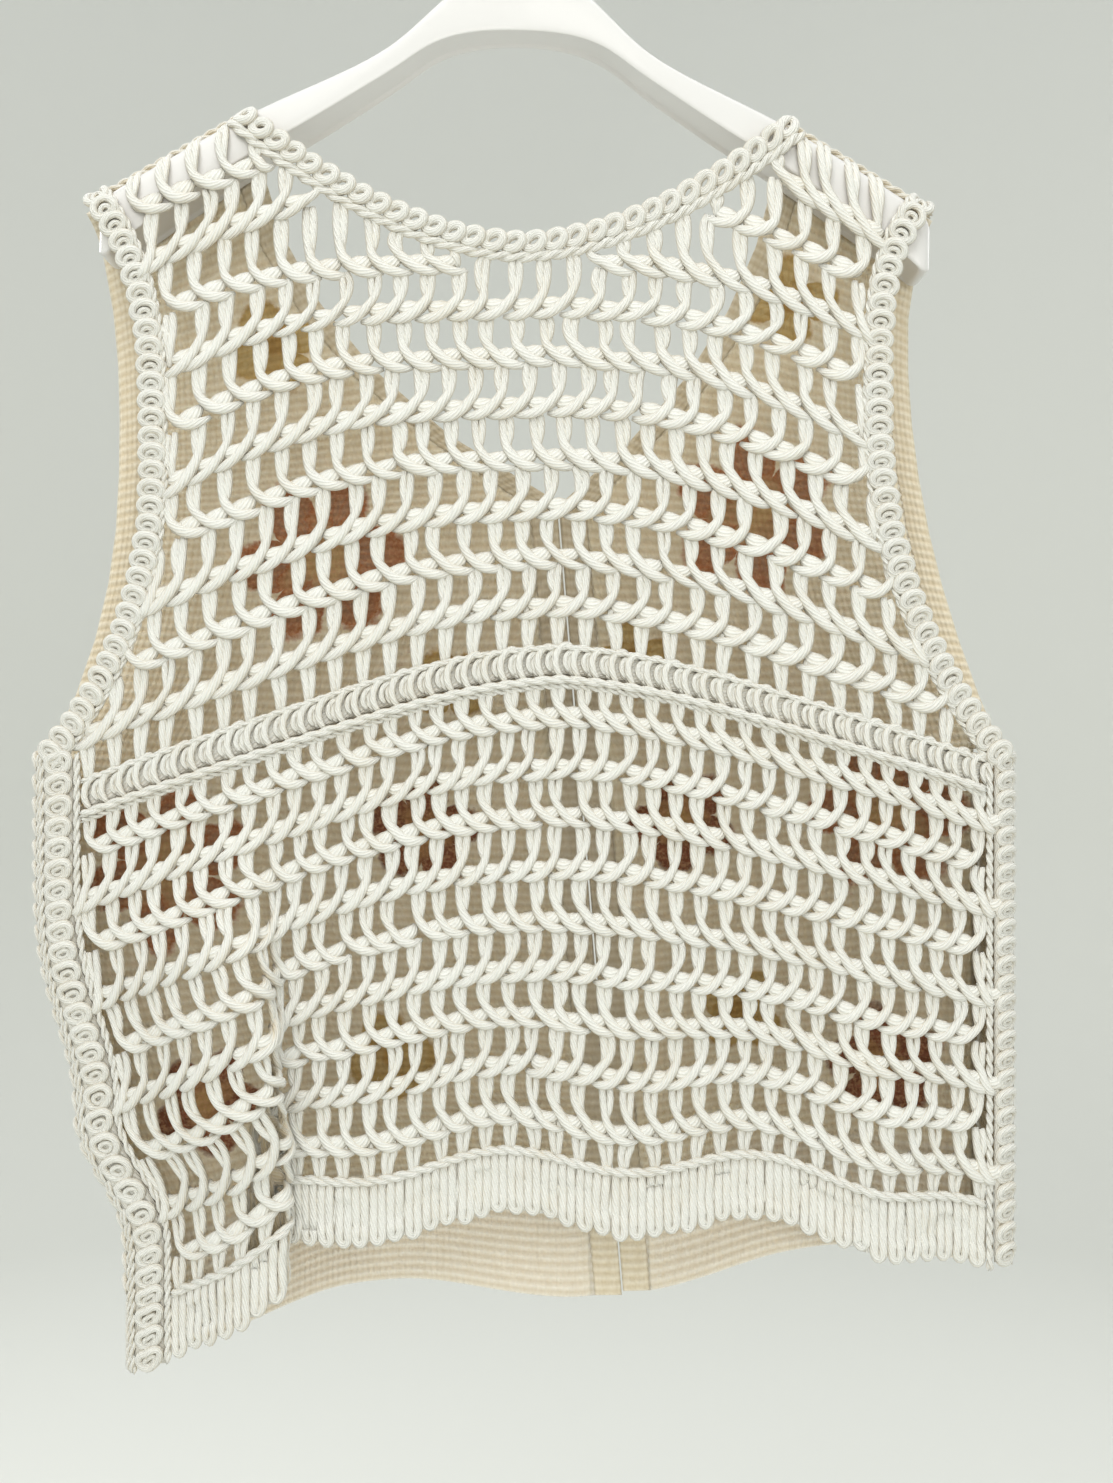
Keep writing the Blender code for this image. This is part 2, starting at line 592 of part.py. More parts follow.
def build_hanger(plastic, steel, collection):
    """The broad moulded hanger, lofted as one half and mirrored, and its wire hook."""
    shape = bmesh.new()
    rings = []
    for x, top, foot, depth in HANGER_SECTIONS:
        outline = hanger_ring(x, top, foot, depth)
        rings.append([shape.verts.new([value * MM for value in point]) for point in outline])
    for ring, after in zip(rings, rings[1:]):
        for index in range(len(ring)):
            following = (index + 1) % len(ring)
            shape.faces.new((ring[index], ring[following], after[following], after[index]))
    shape.faces.new(rings[-1])
    bmesh.ops.recalc_face_normals(shape, faces=shape.faces)
    mesh = bpy.data.meshes.new("hanger")
    shape.to_mesh(mesh)
    shape.free()
    hanger = add("hanger", mesh, plastic, collection)
    hanger.rotation_euler.y = HANGER_ROLL
    halves = hanger.modifiers.new("Halves", "MIRROR")
    halves.merge_threshold = 0.0001
    mesh.shade_smooth()

    radius = HOOK_INSIDE + 0.5 * WIRE
    neck_top = HANGER_SECTIONS[0][1]
    points = [(0.0, 0.0, neck_top + HOOK_SUNK), *((x, 0.0, z) for x, z in HOOK_STEM)]
    for step in range(HOOK_STEPS + 1):
        angle = math.radians(HOOK_START + (HOOK_END - HOOK_START) * step / HOOK_STEPS)
        points.append((radius * math.cos(angle), 0.0, radius * math.sin(angle) - HOOK_INSIDE))
    points += [(x, 0.0, z) for x, z in HOOK_TIP]
    rope("hook", points, 0.5 * WIRE, steel, collection)


def main():
    """Clear the scene and build the garment and its hanger."""
    for item in list(bpy.data.objects):
        bpy.data.objects.remove(item, do_unlink=True)
    collection = bpy.data.collections.new("crochet_top_on_hanger")
    bpy.context.scene.collection.children.link(collection)
    cotton = material("cream_cotton_cord", (0.84, 0.79, 0.68), 0.9)
    knit = material("beige_cotton_knit", (0.62, 0.52, 0.35), 0.92)
    plastic = material("white_plastic", (0.86, 0.86, 0.87), 0.35)
    steel = material("bright_wire", (0.75, 0.75, 0.76), 0.25, 1.0)
    build_back(cotton, collection)
    build_neck_trim(cotton, collection)
    build_armhole_trims(cotton, collection)
    build_side_strips(cotton, collection)
    build_shoulder_seams(cotton, collection)
    build_fronts(knit, cotton, collection)
    build_hanger(plastic, steel, collection)


main()
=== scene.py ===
"""Looks of a sleeveless crochet top, open down the front, on a broad plastic hanger.

Lengths are in millimetres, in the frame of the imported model, and become metres as each mesh is made.
The back is placed by s, the distance along a course from the X = 0 line, and t, the height of that course at
the middle of the back. A stitch is drawn in its own plane, as (along, up, lift), and a placer lays it on the
cloth: along runs with the course, up across it, and lift stands off the cloth's outer face.
"""

import logging
import math
from dataclasses import dataclass, field
from enum import Enum
from functools import cached_property, lru_cache
from typing import Callable, Iterable, Sequence

import bmesh
import bpy
import numpy as np
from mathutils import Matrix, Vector


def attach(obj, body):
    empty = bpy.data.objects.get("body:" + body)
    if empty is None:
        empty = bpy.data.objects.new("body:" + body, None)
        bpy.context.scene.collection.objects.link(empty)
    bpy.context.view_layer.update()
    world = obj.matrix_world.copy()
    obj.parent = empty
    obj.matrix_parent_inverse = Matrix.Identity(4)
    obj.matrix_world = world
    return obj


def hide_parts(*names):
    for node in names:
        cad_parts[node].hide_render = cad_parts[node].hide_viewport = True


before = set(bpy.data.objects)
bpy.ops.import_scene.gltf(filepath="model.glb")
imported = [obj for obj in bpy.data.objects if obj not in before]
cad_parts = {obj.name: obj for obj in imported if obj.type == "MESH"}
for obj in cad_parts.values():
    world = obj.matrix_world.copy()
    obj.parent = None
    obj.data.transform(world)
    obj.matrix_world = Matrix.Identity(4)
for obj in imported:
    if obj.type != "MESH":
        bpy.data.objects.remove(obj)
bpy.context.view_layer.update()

MM = 0.001
log = logging.getLogger("crochet_top")

Array = np.ndarray
Pair = tuple[float, float]
Row = tuple[float, ...]
Arrays = tuple[Array, Array]
Placer = Callable[[Array, Array, Array], Arrays]
Socket = bpy.types.NodeSocket
Piece = bpy.types.Object


class Side(Enum):
    """The garment's two sides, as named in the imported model."""

    LEFT = "left"
    RIGHT = "right"

    @property
    def sign(self) -> float:
        """Direction along X that leads out of the garment on this side."""
        return -1.0 if self is Side.LEFT else 1.0


class Face(Enum):
    """Which half of the garment a point hangs on, as the sign of its Y."""

    BACK = -1.0
    FRONT = 1.0


def smooth(value: Array | float, start: float, end: float) -> Array:
    """0 before start, 1 after end, and a soft step between them."""
    part = np.clip((value - start) / (end - start), 0.0, 1.0)
    return part * part * (3.0 - 2.0 * part)


def spread(start: float, end: float, count: int) -> list[float]:
    """Evenly spaced values from start to end."""
    return [float(value) for value in np.linspace(start, end, count)]


def unit(vectors: Array) -> Array:
    """The same directions with length 1."""
    return vectors / np.maximum(np.linalg.norm(vectors, axis=-1, keepdims=True), 1e-9)


def stand_off(
    base: Callable[[Array, Array], Array], a: Array, b: Array, lift: Array, steps: Pair, sign: float
) -> Arrays:
    """Points that stand off a surface.

    Args:
        base: gives the surface's point for a pair of coordinates.
        a: the first coordinate of each point.
        b: the second.
        lift: how far each stands off.
        steps: how far to step in a and in b to find the normal.
        sign: 1, or -1 to turn the normal over.

    Returns:
        The points, and the surface's outward normal at each of them.
    """
    across = base(a + steps[0], b) - base(a - steps[0], b)
    upward = base(a, b + steps[1]) - base(a, b - steps[1])
    normal = unit(np.cross(across, upward)) * sign
    return base(a, b) + normal * lift[..., None], normal


# --- The form of the cloth ---


@dataclass(frozen=True)
class HoleEdge:
    """An armhole's outer edge: its narrowest place, and how far it flares above and below that."""

    waist_x: float
    waist_z: float
    upper: Row  # flare, height over which it flares, power
    lower: Row

    def x(self, z: Array) -> Array:
        """X of the edge at height z."""
        above = np.clip((z - self.waist_z) / self.upper[1], 0.0, 1.0)
        below = np.clip((self.waist_z - z) / self.lower[1], 0.0, None)
        return self.waist_x + self.upper[0] * above ** self.upper[2] + self.lower[0] * below ** self.lower[2]


HOLES = {
    (Face.BACK, Side.LEFT): HoleEdge(-183.0, -310.0, (-29.0, 127.0, 3.5), (-51.0, 137.0, 2.3)),
    (Face.BACK, Side.RIGHT): HoleEdge(176.0, -285.0, (23.0, 99.0, 4.0), (60.0, 162.0, 2.23)),
    (Face.FRONT, Side.LEFT): HoleEdge(-201.0, -300.0, (-14.0, 118.0, 2.5), (-33.0, 147.0, 2.3)),
    (Face.FRONT, Side.RIGHT): HoleEdge(191.0, -245.0, (10.0, 60.0, 2.0), (45.0, 202.0, 2.0)),
}

# Each course: its height at the centre, then how far out it starts to fall and how steeply, on each side.
COURSES = (
    # height, left knee, left fall, right knee, right fall
    (-73.0, 0.0, 0.53, 0.0, 0.72),
    (-135.0, 60.0, 0.40, 40.0, 0.64),
    (-178.0, 130.0, 0.53, 60.0, 0.55),
    (-214.0, 150.0, 0.50, 85.0, 0.53),
    (-259.0, 135.0, 0.62, 70.0, 0.52),
    (-308.0, 100.0, 0.43, 55.0, 0.42),
    (-410.0, 35.0, 0.35, 30.0, 0.325),
    (-540.0, 80.0, 0.42, 40.0, 0.225),
    (-641.0, 135.0, 0.68, 110.0, 0.24),
    (-680.0, 135.0, 0.68, 110.0, 0.24),
)

# Soft creases of the hanging cloth: where each one's middle is, its length, its width, how far it leans from
# upright in degrees, and how far it stands out (or in, if negative).
CREASES = {
    Face.BACK: (
        # x, z, length, width, lean, depth
        (-58.0, -300.0, 150.0, 26.0, 12.0, 1.6),
        (84.0, -330.0, 120.0, 22.0, -16.0, -1.5),
        (12.0, -540.0, 170.0, 30.0, 4.0, 1.8),
        (150.0, -560.0, 130.0, 24.0, -9.0, -2.0),
        (-20.0, -250.0, 90.0, 34.0, -30.0, -1.2),
        (128.0, -215.0, 60.0, 15.0, 35.0, 1.4),
    ),
    Face.FRONT: (
        (-118.0, -570.0, 230.0, 24.0, 6.0, 7.0),
        (-68.0, -620.0, 190.0, 17.0, -5.0, -4.6),
        (-168.0, -610.0, 170.0, 15.0, 10.0, -4.0),
        (-150.0, -425.0, 130.0, 18.0, -30.0, 4.6),
        (-112.0, -400.0, 110.0, 14.0, -34.0, -3.0),
        (-14.0, -600.0, 190.0, 20.0, 8.0, 4.4),
        (92.0, -600.0, 220.0, 22.0, -7.0, 6.6),
        (140.0, -620.0, 180.0, 17.0, -2.0, -4.8),
        (176.0, -600.0, 150.0, 13.0, -6.0, 3.4),
        (146.0, -395.0, 140.0, 18.0, 32.0, 4.8),
        (108.0, -372.0, 110.0, 14.0, 36.0, -3.0),
        (-134.0, -262.0, 110.0, 14.0, 20.0, -2.8),
        (130.0, -250.0, 110.0, 14.0, -20.0, -2.8),
    ),
}


@dataclass(frozen=True, eq=False)
class GarmentForm:
    """The form that the cloth hangs in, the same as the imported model's."""

    centre: float = 18.0  # s of the highest point of the courses
    shoulder_radius: float = 17.5
    ridge_top: float = -64.0
    ridge_slope: float = 0.59
    ridge_roll: float = 0.021
    ridge_centre: float = -3.0
    tips: Pair = (-212.0, 199.0)
    seam_reach: float = 4.2
    round_rows: Row = (30.0, 50.0, 70.0, 90.0)
    neckline_depth: float = -200.0
    neckline_half: float = 131.0
    neckline_rise: float = 61.0
    neckline_power: float = 1.8
    neck_trim: float = 14.0
    armhole_trim: float = 13.0
    front_band: float = 13.0
    front_armhole_band: float = 10.0
    gap: float = 0.4
    band_top: float = -397.0
    band_foot: float = -414.0
    hem_top: float = -641.0
    hem_foot: float = -674.0
    panel: Pair = (-212.0, 222.0)
    strip_width: float = 42.0
    side_turns: Pair = (-224.0, 225.0)
    side_turn: float = 34.6
    underarm: float = -447.0
    side_taper: float = 6.5
    side_taper_start: float = 165.0
    side_taper_length: float = 60.0
    flute_depth: float = 4.0
    flute_lift: float = 4.5
    flute_pitch: float = 122.0
    flute_crest: float = 112.0
    flute_start: float = -500.0
    flute_full: float = -645.0
    fold_turn: float = 9.0
    fold_return: float = 13.0
    fold_levels: Row = (-430.0, -555.0, -618.0)  # starts, is edge on, is full
    fold_s: Pair = (-111.0, -127.0)
    knee_softness: float = 50.0
    front_neck: Pair = (-317.0, -139.0)  # foot and top of the V
    front_neck_power: float = 1.8
    front_neck_round: float = 0.75
    centre_x: Pair = (16.0, 49.0)  # centre front at the V's foot and at the hem
    centre_opening: float = 1.2
    front_upper: float = 264.0
    front_underarm: float = -455.0
    front_feet: tuple[Pair, Pair] = ((-719.0, 22.0), (-717.0, 13.0))
    plan_step: float = 0.5
    plan_levels: Row = (-700.0, -330.0, 2.0)  # lowest, highest and step of the plan

    def end(self, pair: Pair, side: Side) -> float:
        """The value of a pair that belongs to a side."""
        return pair[0] if side is Side.LEFT else pair[1]

    def ridge(self, x: Array) -> Array:
        """Height of the cloth where it passes over the top of the hanger's arms."""
        return self.ridge_top - self.ridge_slope * np.abs(x - self.ridge_centre) - self.ridge_roll * x

    def neckline(self, x: Array) -> Array:
        """Height of the outer edge of the back neckline."""
        return self.neckline_depth + self.neckline_rise * (np.abs(x) / self.neckline_half) ** self.neckline_power

    def course_values(self, t: Array) -> list[Array]:
        """Knee and fall of the course at t, on the left and on the right."""
        table = np.array(COURSES)[::-1]
        return [np.interp(t, table[:, 0], table[:, column]) for column in range(1, 5)]

    def bent(self, distance: Array, knee: Array) -> Array:
        """A line that stays level up to the knee and then rises at 1 in 1, rounded at the knee."""
        soft = self.knee_softness**2
        start = 0.5 * (np.sqrt(knee**2 + soft) - knee)
        return 0.5 * (distance - knee + np.sqrt((distance - knee) ** 2 + soft)) - start

    def flute(self, x: Array, t: Array) -> Array:
        """From -1 to 1 along the hem's soft flutes, fading out above it."""
        strength = smooth(-t, -self.flute_start, -self.flute_full)
        return strength * np.cos(2.0 * math.pi * (x - self.flute_crest) / self.flute_pitch)

    def taper(self, s: Array) -> Array:
        """0 over most of the width, and 1 at the sides, where back and front close up."""
        return smooth(np.abs(s), self.side_taper_start, self.side_taper_start + self.side_taper_length)

    def height(self, s: Array, t: Array) -> Array:
        """Height of a point of the course t at s."""
        left_knee, left_fall, right_knee, right_fall = self.course_values(t)
        left = np.clip(self.centre - s, 0.0, self.centre - self.side_turns[0])
        right = np.clip(s - self.centre, 0.0, self.side_turns[1] - self.centre)
        fall = left_fall * self.bent(left, left_knee) + right_fall * self.bent(right, right_knee)
        return t - fall + self.flute_lift * (1.0 - self.taper(s)) * self.flute(s, t)

    def section(self, t: float) -> tuple[Array, Array, Array]:
        """The garment's back and sides at the course t: s, x and y along it.

        Args:
            t: the course.

        Returns:
            s, x and y of points half a millimetre apart.
        """
        reach = self.strip_width + 2.0
        s = np.arange(self.panel[0] - reach, self.panel[1] + reach + self.plan_step, self.plan_step)
        start, edge_on, full = self.fold_levels
        fold_s = self.fold_s[0] + (self.fold_s[1] - self.fold_s[0]) * smooth(-t, -edge_on, -full)
        into_fold = fold_s - s
        fold_length = 2.0 * self.fold_turn + self.fold_return
        first = np.clip(into_fold / self.fold_turn, 0, 1)
        turned = first * np.clip((fold_length - into_fold) / self.fold_turn, 0, 1)
        angle = math.radians(90.0) * (smooth(-t, -start, -edge_on) + 0.97 * smooth(-t, -edge_on, -full))
        heading = angle * turned
        heading += math.pi * np.clip((s - self.side_turns[1]) / self.side_turn, 0, 1)
        heading += math.pi * np.clip((self.side_turns[0] - s) / self.side_turn, 0, 1)
        away = np.where((s < fold_s) & (s > self.side_turns[0]), -1.0, 1.0)
        dx = np.cos(heading) * self.plan_step
        dy = np.sin(heading) * self.plan_step * away
        middle = int(np.argmin(np.abs(s - self.centre)))
        x = np.concatenate([[0.0], np.cumsum(0.5 * (dx[:-1] + dx[1:]))])
        y = np.concatenate([[0.0], np.cumsum(0.5 * (dy[:-1] + dy[1:]))])
        # Left of the middle the depth grows outwards, so that branch is turned over.
        x = x - x[middle] + self.centre
        y = np.where(s < self.centre, y[middle] - y, y - y[middle])
        flap = smooth(fold_s - fold_length - s, 0.0, fold_s - fold_length - self.panel[0])
        y = y - np.interp(self.panel[0], s, y) * flap
        y += self.side_taper * self.taper(s)
        y += self.flute_depth * (1.0 - self.taper(s)) * self.flute(s, t)
        return s, x, y - self.shoulder_radius

    @cached_property
    def plan(self) -> Arrays:
        """X and Y of the lower back for every course of the plan and every point of its section."""
        low, high, step = self.plan_levels
        sections = [self.section(float(t)) for t in np.arange(low, high + step, step)]
        return np.array([part[1] for part in sections]), np.array([part[2] for part in sections])

    def on_plan(self, s: Array, t: Array) -> Arrays:
        """X and Y of the lower back at s and t, read between the plan's points."""
        low, _, step = self.plan_levels
        grid_x, grid_y = self.plan
        row = np.clip((t - low) / step, 0.0, grid_x.shape[0] - 1.001)
        column = (s - (self.panel[0] - self.strip_width - 2.0)) / self.plan_step
        column = np.clip(column, 0.0, grid_x.shape[1] - 1.001)
        i, j = row.astype(int), column.astype(int)
        down, across = row - i, column - j

        def read(grid: Array) -> Array:
            """One table, between its four nearest points."""
            upper = grid[i, j] * (1.0 - across) + grid[i, j + 1] * across
            lower = grid[i + 1, j] * (1.0 - across) + grid[i + 1, j + 1] * across
            return upper * (1.0 - down) + lower * down

        return read(grid_x), read(grid_y)

    def crease(self, x: Array, z: Array, face: Face) -> Array:
        """How far the cloth's creases stand out at (x, z)."""
        total = np.zeros_like(x)
        for middle_x, middle_z, length, width, lean, depth in CREASES[face]:
            turn = math.radians(lean)
            down = (middle_z - z) * math.cos(turn) + (x - middle_x) * math.sin(turn)
            across = (x - middle_x) * math.cos(turn) - (middle_z - z) * math.sin(turn)
            total += depth * np.exp(-((2.0 * down / length) ** 2) - (across / width) ** 2)
        return total * (1.0 - smooth(np.abs(x), 195.0, 222.0)) * smooth(self.ridge(x) - z, 18.0, 70.0)

    def depth(self, x: Array, z: Array, face: Face) -> Array:
        """Y of the cloth that hangs from the shoulders: round the hanger's arm, then straight down."""
        below = np.clip((self.ridge(x) - z) / self.shoulder_radius, 0.0, 1.0)
        round_part = self.shoulder_radius * np.sqrt(1.0 - (1.0 - below) ** 2)
        taper = self.side_taper * self.taper(x) * smooth(-z, 220.0, 330.0)
        return face.value * (round_part - taper + self.crease(x, z, face))

    def hang(self, x: Array, z: Array, lift: Array, face: Face) -> Arrays:
        """Points of the upper cloth.

        Args:
            x: X of each point.
            z: height of each point.
            lift: how far it stands off.
            face: the back or the front.

        Returns:
            The points, and the cloth's outward normal at each of them.
        """
        x, z, lift = np.broadcast_arrays(np.asarray(x, float), np.asarray(z, float), np.asarray(lift, float))

        def base(px: Array, pz: Array) -> Array:
            """Points of the cloth itself."""
            return np.stack([px, self.depth(px, pz, face), pz], axis=-1)

        return stand_off(base, x, z, lift, (1.0, 0.4), -face.value)

    def wrap(self, s: Array, t: Array, up: Array, lift: Array) -> Arrays:
        """Points of the lower back and of the side strips.

        Args:
            s: place along the course.
            t: the course.
            up: height above the course.
            lift: how far it stands off.

        Returns:
            The points, and the cloth's outward normal at each of them.
        """
        s, t, up, lift = np.broadcast_arrays(*(np.asarray(value, float) for value in (s, t, up, lift)))

        def base(ps: Array, pup: Array) -> Array:
            """Points of the cloth itself."""
            px, py = self.on_plan(ps, t + pup)
            pz = self.height(ps, t) + pup
            return np.stack([px, py - self.crease(px, pz, Face.BACK), pz], axis=-1)

        return stand_off(base, s, up, lift, (0.8, 1.0), 1.0)

    def height_at_reach(self, x: Array, reach: float) -> Array:
        """Height of the cloth at this distance along it from the ridge, on a shoulder."""
        return self.ridge(x) - self.shoulder_radius * (1.0 - math.cos(reach / self.shoulder_radius))

    @lru_cache(maxsize=None)
    def hole_line(self, face: Face, side: Side, inset: float) -> Arrays:
        """X and Z, by rising Z, of the line that runs inset inside an armhole's edge."""
        hole = HOLES[face, side]
        z = np.linspace(hole.waist_z + 140.0, self.underarm - 25.0, 160)
        x = hole.x(z)
        slope = np.gradient(x, z)
        length = np.sqrt(1.0 + slope**2)
        line_x, line_z = x - side.sign * inset / length, z + side.sign * inset * slope / length
        order = np.argsort(line_z)
        return line_x[order], line_z[order]

    def hole_inside(self, face: Face, side: Side, z: Array, inset: float) -> Array:
        """X at height z of the line that runs inset inside an armhole's edge."""
        line_x, line_z = self.hole_line(face, side, inset)
        return np.interp(z, line_z, line_x)

    @lru_cache(maxsize=None)
    def shoulder_corner(self, face: Face, side: Side, inset: float) -> Pair:
        """The outer corner (x, z) of a shoulder, inset inside the armhole's edge."""
        x = self.end(self.tips, side)
        for _ in range(6):
            x = float(self.hole_inside(face, side, self.height_at_reach(x, self.seam_reach), inset))
        return x, float(self.height_at_reach(x, self.seam_reach))

    def neckline_inside(self, x: Array, inset: float) -> Array:
        """Height at x of the line that runs inset below the neckline's edge."""
        part = (np.abs(x) / self.neckline_half) ** (self.neckline_power - 1)
        slope = self.neckline_rise * self.neckline_power / self.neckline_half * part
        return self.neckline(x) - inset * np.sqrt(1.0 + slope * slope)

    @lru_cache(maxsize=None)
    def neck_end(self, side: Side, inset: float) -> float:
        """X where the line that runs inset below the neckline meets the shoulder seam."""
        x = side.sign * np.linspace(100.0, 180.0, 321)
        gaps = self.neckline_inside(x, inset) - self.height_at_reach(x, self.seam_reach)
        return side.sign * float(np.interp(0.0, gaps, np.abs(x)))

    def strip_level(self, s: float) -> float:
        """Course of the side strip's top edge at s, level with the underarm."""
        levels = np.linspace(self.hem_top, self.band_top + 90.0, 120)
        return float(np.interp(self.underarm - self.gap, self.height(s, levels), levels))

    def strip_rows(self) -> list[float | None]:
        """Courses of the side strips' rows, from their top edge, None, to the hem."""
        body = spread(self.band_foot, self.hem_top + 0.9, 10)
        return [None, self.band_top, *body[:-1], self.hem_top, 0.5 * (self.hem_top + self.hem_foot), self.hem_foot]

    def strip_edge(self, side: Side, t: float | None) -> Array:
        """Point of a side strip's front edge."""
        s = self.end(self.panel, side) + side.sign * self.strip_width
        level = self.strip_level(s) if t is None else t
        point, _ = self.wrap(np.array([s]), level, 0.0, 0.0)
        return point[0]

    def front_rows(self) -> list[float]:
        """Rows of a front: 0 at the shoulder, 1 at the underarm and 2 at the hem."""
        drops = [1.0 - math.cos(math.radians(angle)) for angle in self.round_rows]
        shoulder = [self.shoulder_radius * drop / self.front_upper for drop in drops]
        strip = len(self.strip_rows()) - 1
        upper = [0.0, *shoulder[:-1], *spread(shoulder[-1], 1.0, 10)]
        return upper + [1.0 + step / strip for step in range(1, strip + 1)]

    def front_neck_x(self, side: Side, z: float, inset: float) -> float:
        """X of the V neck and centre front edge at height z, moved into the cloth by inset."""
        foot, top = self.front_neck
        reach = abs(self.neck_end(side, 0.0) - self.centre_x[0])
        part = np.clip((top - z) / (top - foot), 0.0, 1.0)
        slant = np.clip((foot - z) / (foot - self.front_feet[0][0]), 0.0, 1.0)
        centre = self.centre_x[0] + (self.centre_x[1] - self.centre_x[0]) * slant
        open_neck = reach * (1.0 - part**self.front_neck_power) ** self.front_neck_round
        return float(centre + side.sign * (open_neck + self.centre_opening + inset))

    def front_course(self, side: Side, v: float, inset: float) -> Row:
        """The two ends of a front's course.

        Args:
            side: which front.
            v: 0 at the shoulder, 1 at the underarm and 2 at the hem.
            inset: distance from the neck and centre edge.

        Returns:
            X and Z at the armhole or side, then X and Z at the neck or centre edge.
        """
        out = side.sign
        neck_x = self.neck_end(side, 0.0) + out * inset
        inner_top = float(self.height_at_reach(neck_x, self.seam_reach))
        rows = self.strip_rows()
        hole_inset = self.front_armhole_band + self.gap
        if v <= 1.0:
            _, outer_top = self.shoulder_corner(Face.FRONT, side, hole_inset)
            outer_z = outer_top + (self.underarm + self.gap - outer_top) * v
            outer_x = float(self.hole_inside(Face.FRONT, side, outer_z, hole_inset))
            strip_x = float(self.strip_edge(side, None)[0]) - out * self.gap
            outer_x = out * min(out * outer_x, out * strip_x)
            inner_z = inner_top + (self.front_underarm - inner_top) * v
        else:
            edge = self.strip_edge(side, rows[round((v - 1.0) * (len(rows) - 1))])
            outer_x, outer_z = float(edge[0]) - out * self.gap, float(edge[2])
            foot = self.end(self.front_feet, side)[0]
            inner_z = self.front_underarm + (foot - self.front_underarm) * (v - 1.0)
        inner_x = neck_x if v == 0.0 else self.front_neck_x(side, inner_z, inset)
        return outer_x, outer_z, inner_x, inner_z


FORM = GarmentForm()


def new_object(name: str, data: bpy.types.ID) -> Piece:
    """Makes an object of this data and puts it in the scene."""
    made = bpy.data.objects.new(name, data)
    bpy.context.scene.collection.objects.link(made)
    return made


# --- Meshes of yarn and of knitted cloth ---


def curve_through(rows: Sequence[Sequence[float]], count: int, closed: bool = False) -> Array:
    """A smooth line through the rows of a table, in all of its columns at once.

    Args:
        rows: the table, one row a point.
        count: how many points to return.
        closed: the line returns to its first row.

    Returns:
        An array of count rows.
    """
    table = np.asarray(rows, float)
    if closed:
        before, after = np.roll(table, 1, axis=0), np.roll(table, -1, axis=0)
        slopes, table = 0.5 * (after - before), np.vstack([table, table[:1]])
        slopes = np.vstack([slopes, slopes[:1]])
    else:
        slopes = np.gradient(table, axis=0)
    place = np.linspace(0.0, len(table) - 1.0, count, endpoint=not closed)
    index = np.minimum(place.astype(int), len(table) - 2)
    w = (place - index)[:, None]
    start, end = table[index], table[index + 1]
    return (
        (2 * w**3 - 3 * w**2 + 1) * start
        + (w**3 - 2 * w**2 + w) * slopes[index]
        + (3 * w**2 - 2 * w**3) * end
        + (w**3 - w**2) * slopes[index + 1]
    )


@dataclass
class MeshPile:
    """Closed shapes gathered into one mesh, with a UV map in millimetres and a painted shade value for each point."""

    points: list[Array] = field(default_factory=list)
    corners: list[Array] = field(default_factory=list)
    sizes: list[Array] = field(default_factory=list)
    uvs: list[Array] = field(default_factory=list)
    tones: list[Array] = field(default_factory=list)
    count: int = 0

    def add(self, points: Array, faces: Iterable[Arrays], tones: Array) -> None:
        """Adds a shape.

        Args:
            points: its points.
            faces: pairs of an array of faces, one row a face, and the UV of each of their corners.
            tones: painted shade from 0 to 1 for each point.
        """
        for quads, uv in faces:
            self.corners.append((quads + self.count).reshape(-1))
            self.sizes.append(np.full(len(quads), quads.shape[1]))
            self.uvs.append(uv.reshape(-1, 2))
        self.points.append(points)
        self.tones.append(tones)
        self.count += len(points)

    def build(self, name: str) -> Piece:
        """Makes the gathered shapes one object.

        Args:
            name: the object's name.

        Returns:
            The object.
        """
        corners, sizes = np.concatenate(self.corners), np.concatenate(self.sizes)
        mesh = bpy.data.meshes.new(name)
        mesh.vertices.add(self.count)
        mesh.vertices.foreach_set("co", (np.concatenate(self.points) * MM).astype(np.float32).ravel())
        mesh.loops.add(len(corners))
        mesh.loops.foreach_set("vertex_index", corners.astype(np.int32))
        mesh.polygons.add(len(sizes))
        starts = np.concatenate([[0], np.cumsum(sizes)[:-1]])
        mesh.polygons.foreach_set("loop_start", starts.astype(np.int32))
        mesh.update(calc_edges=True)
        layer = mesh.uv_layers.new(name="yarn")
        layer.data.foreach_set("uv", np.concatenate(self.uvs).astype(np.float32).ravel())
        painted_shade = mesh.attributes.new("painted_shade", "FLOAT", "POINT")
        painted_shade.data.foreach_set("value", np.concatenate(self.tones).astype(np.float32))
        mesh.polygons.foreach_set("use_smooth", np.ones(len(sizes), bool))
        mesh.validate()
        return new_object(name, mesh)


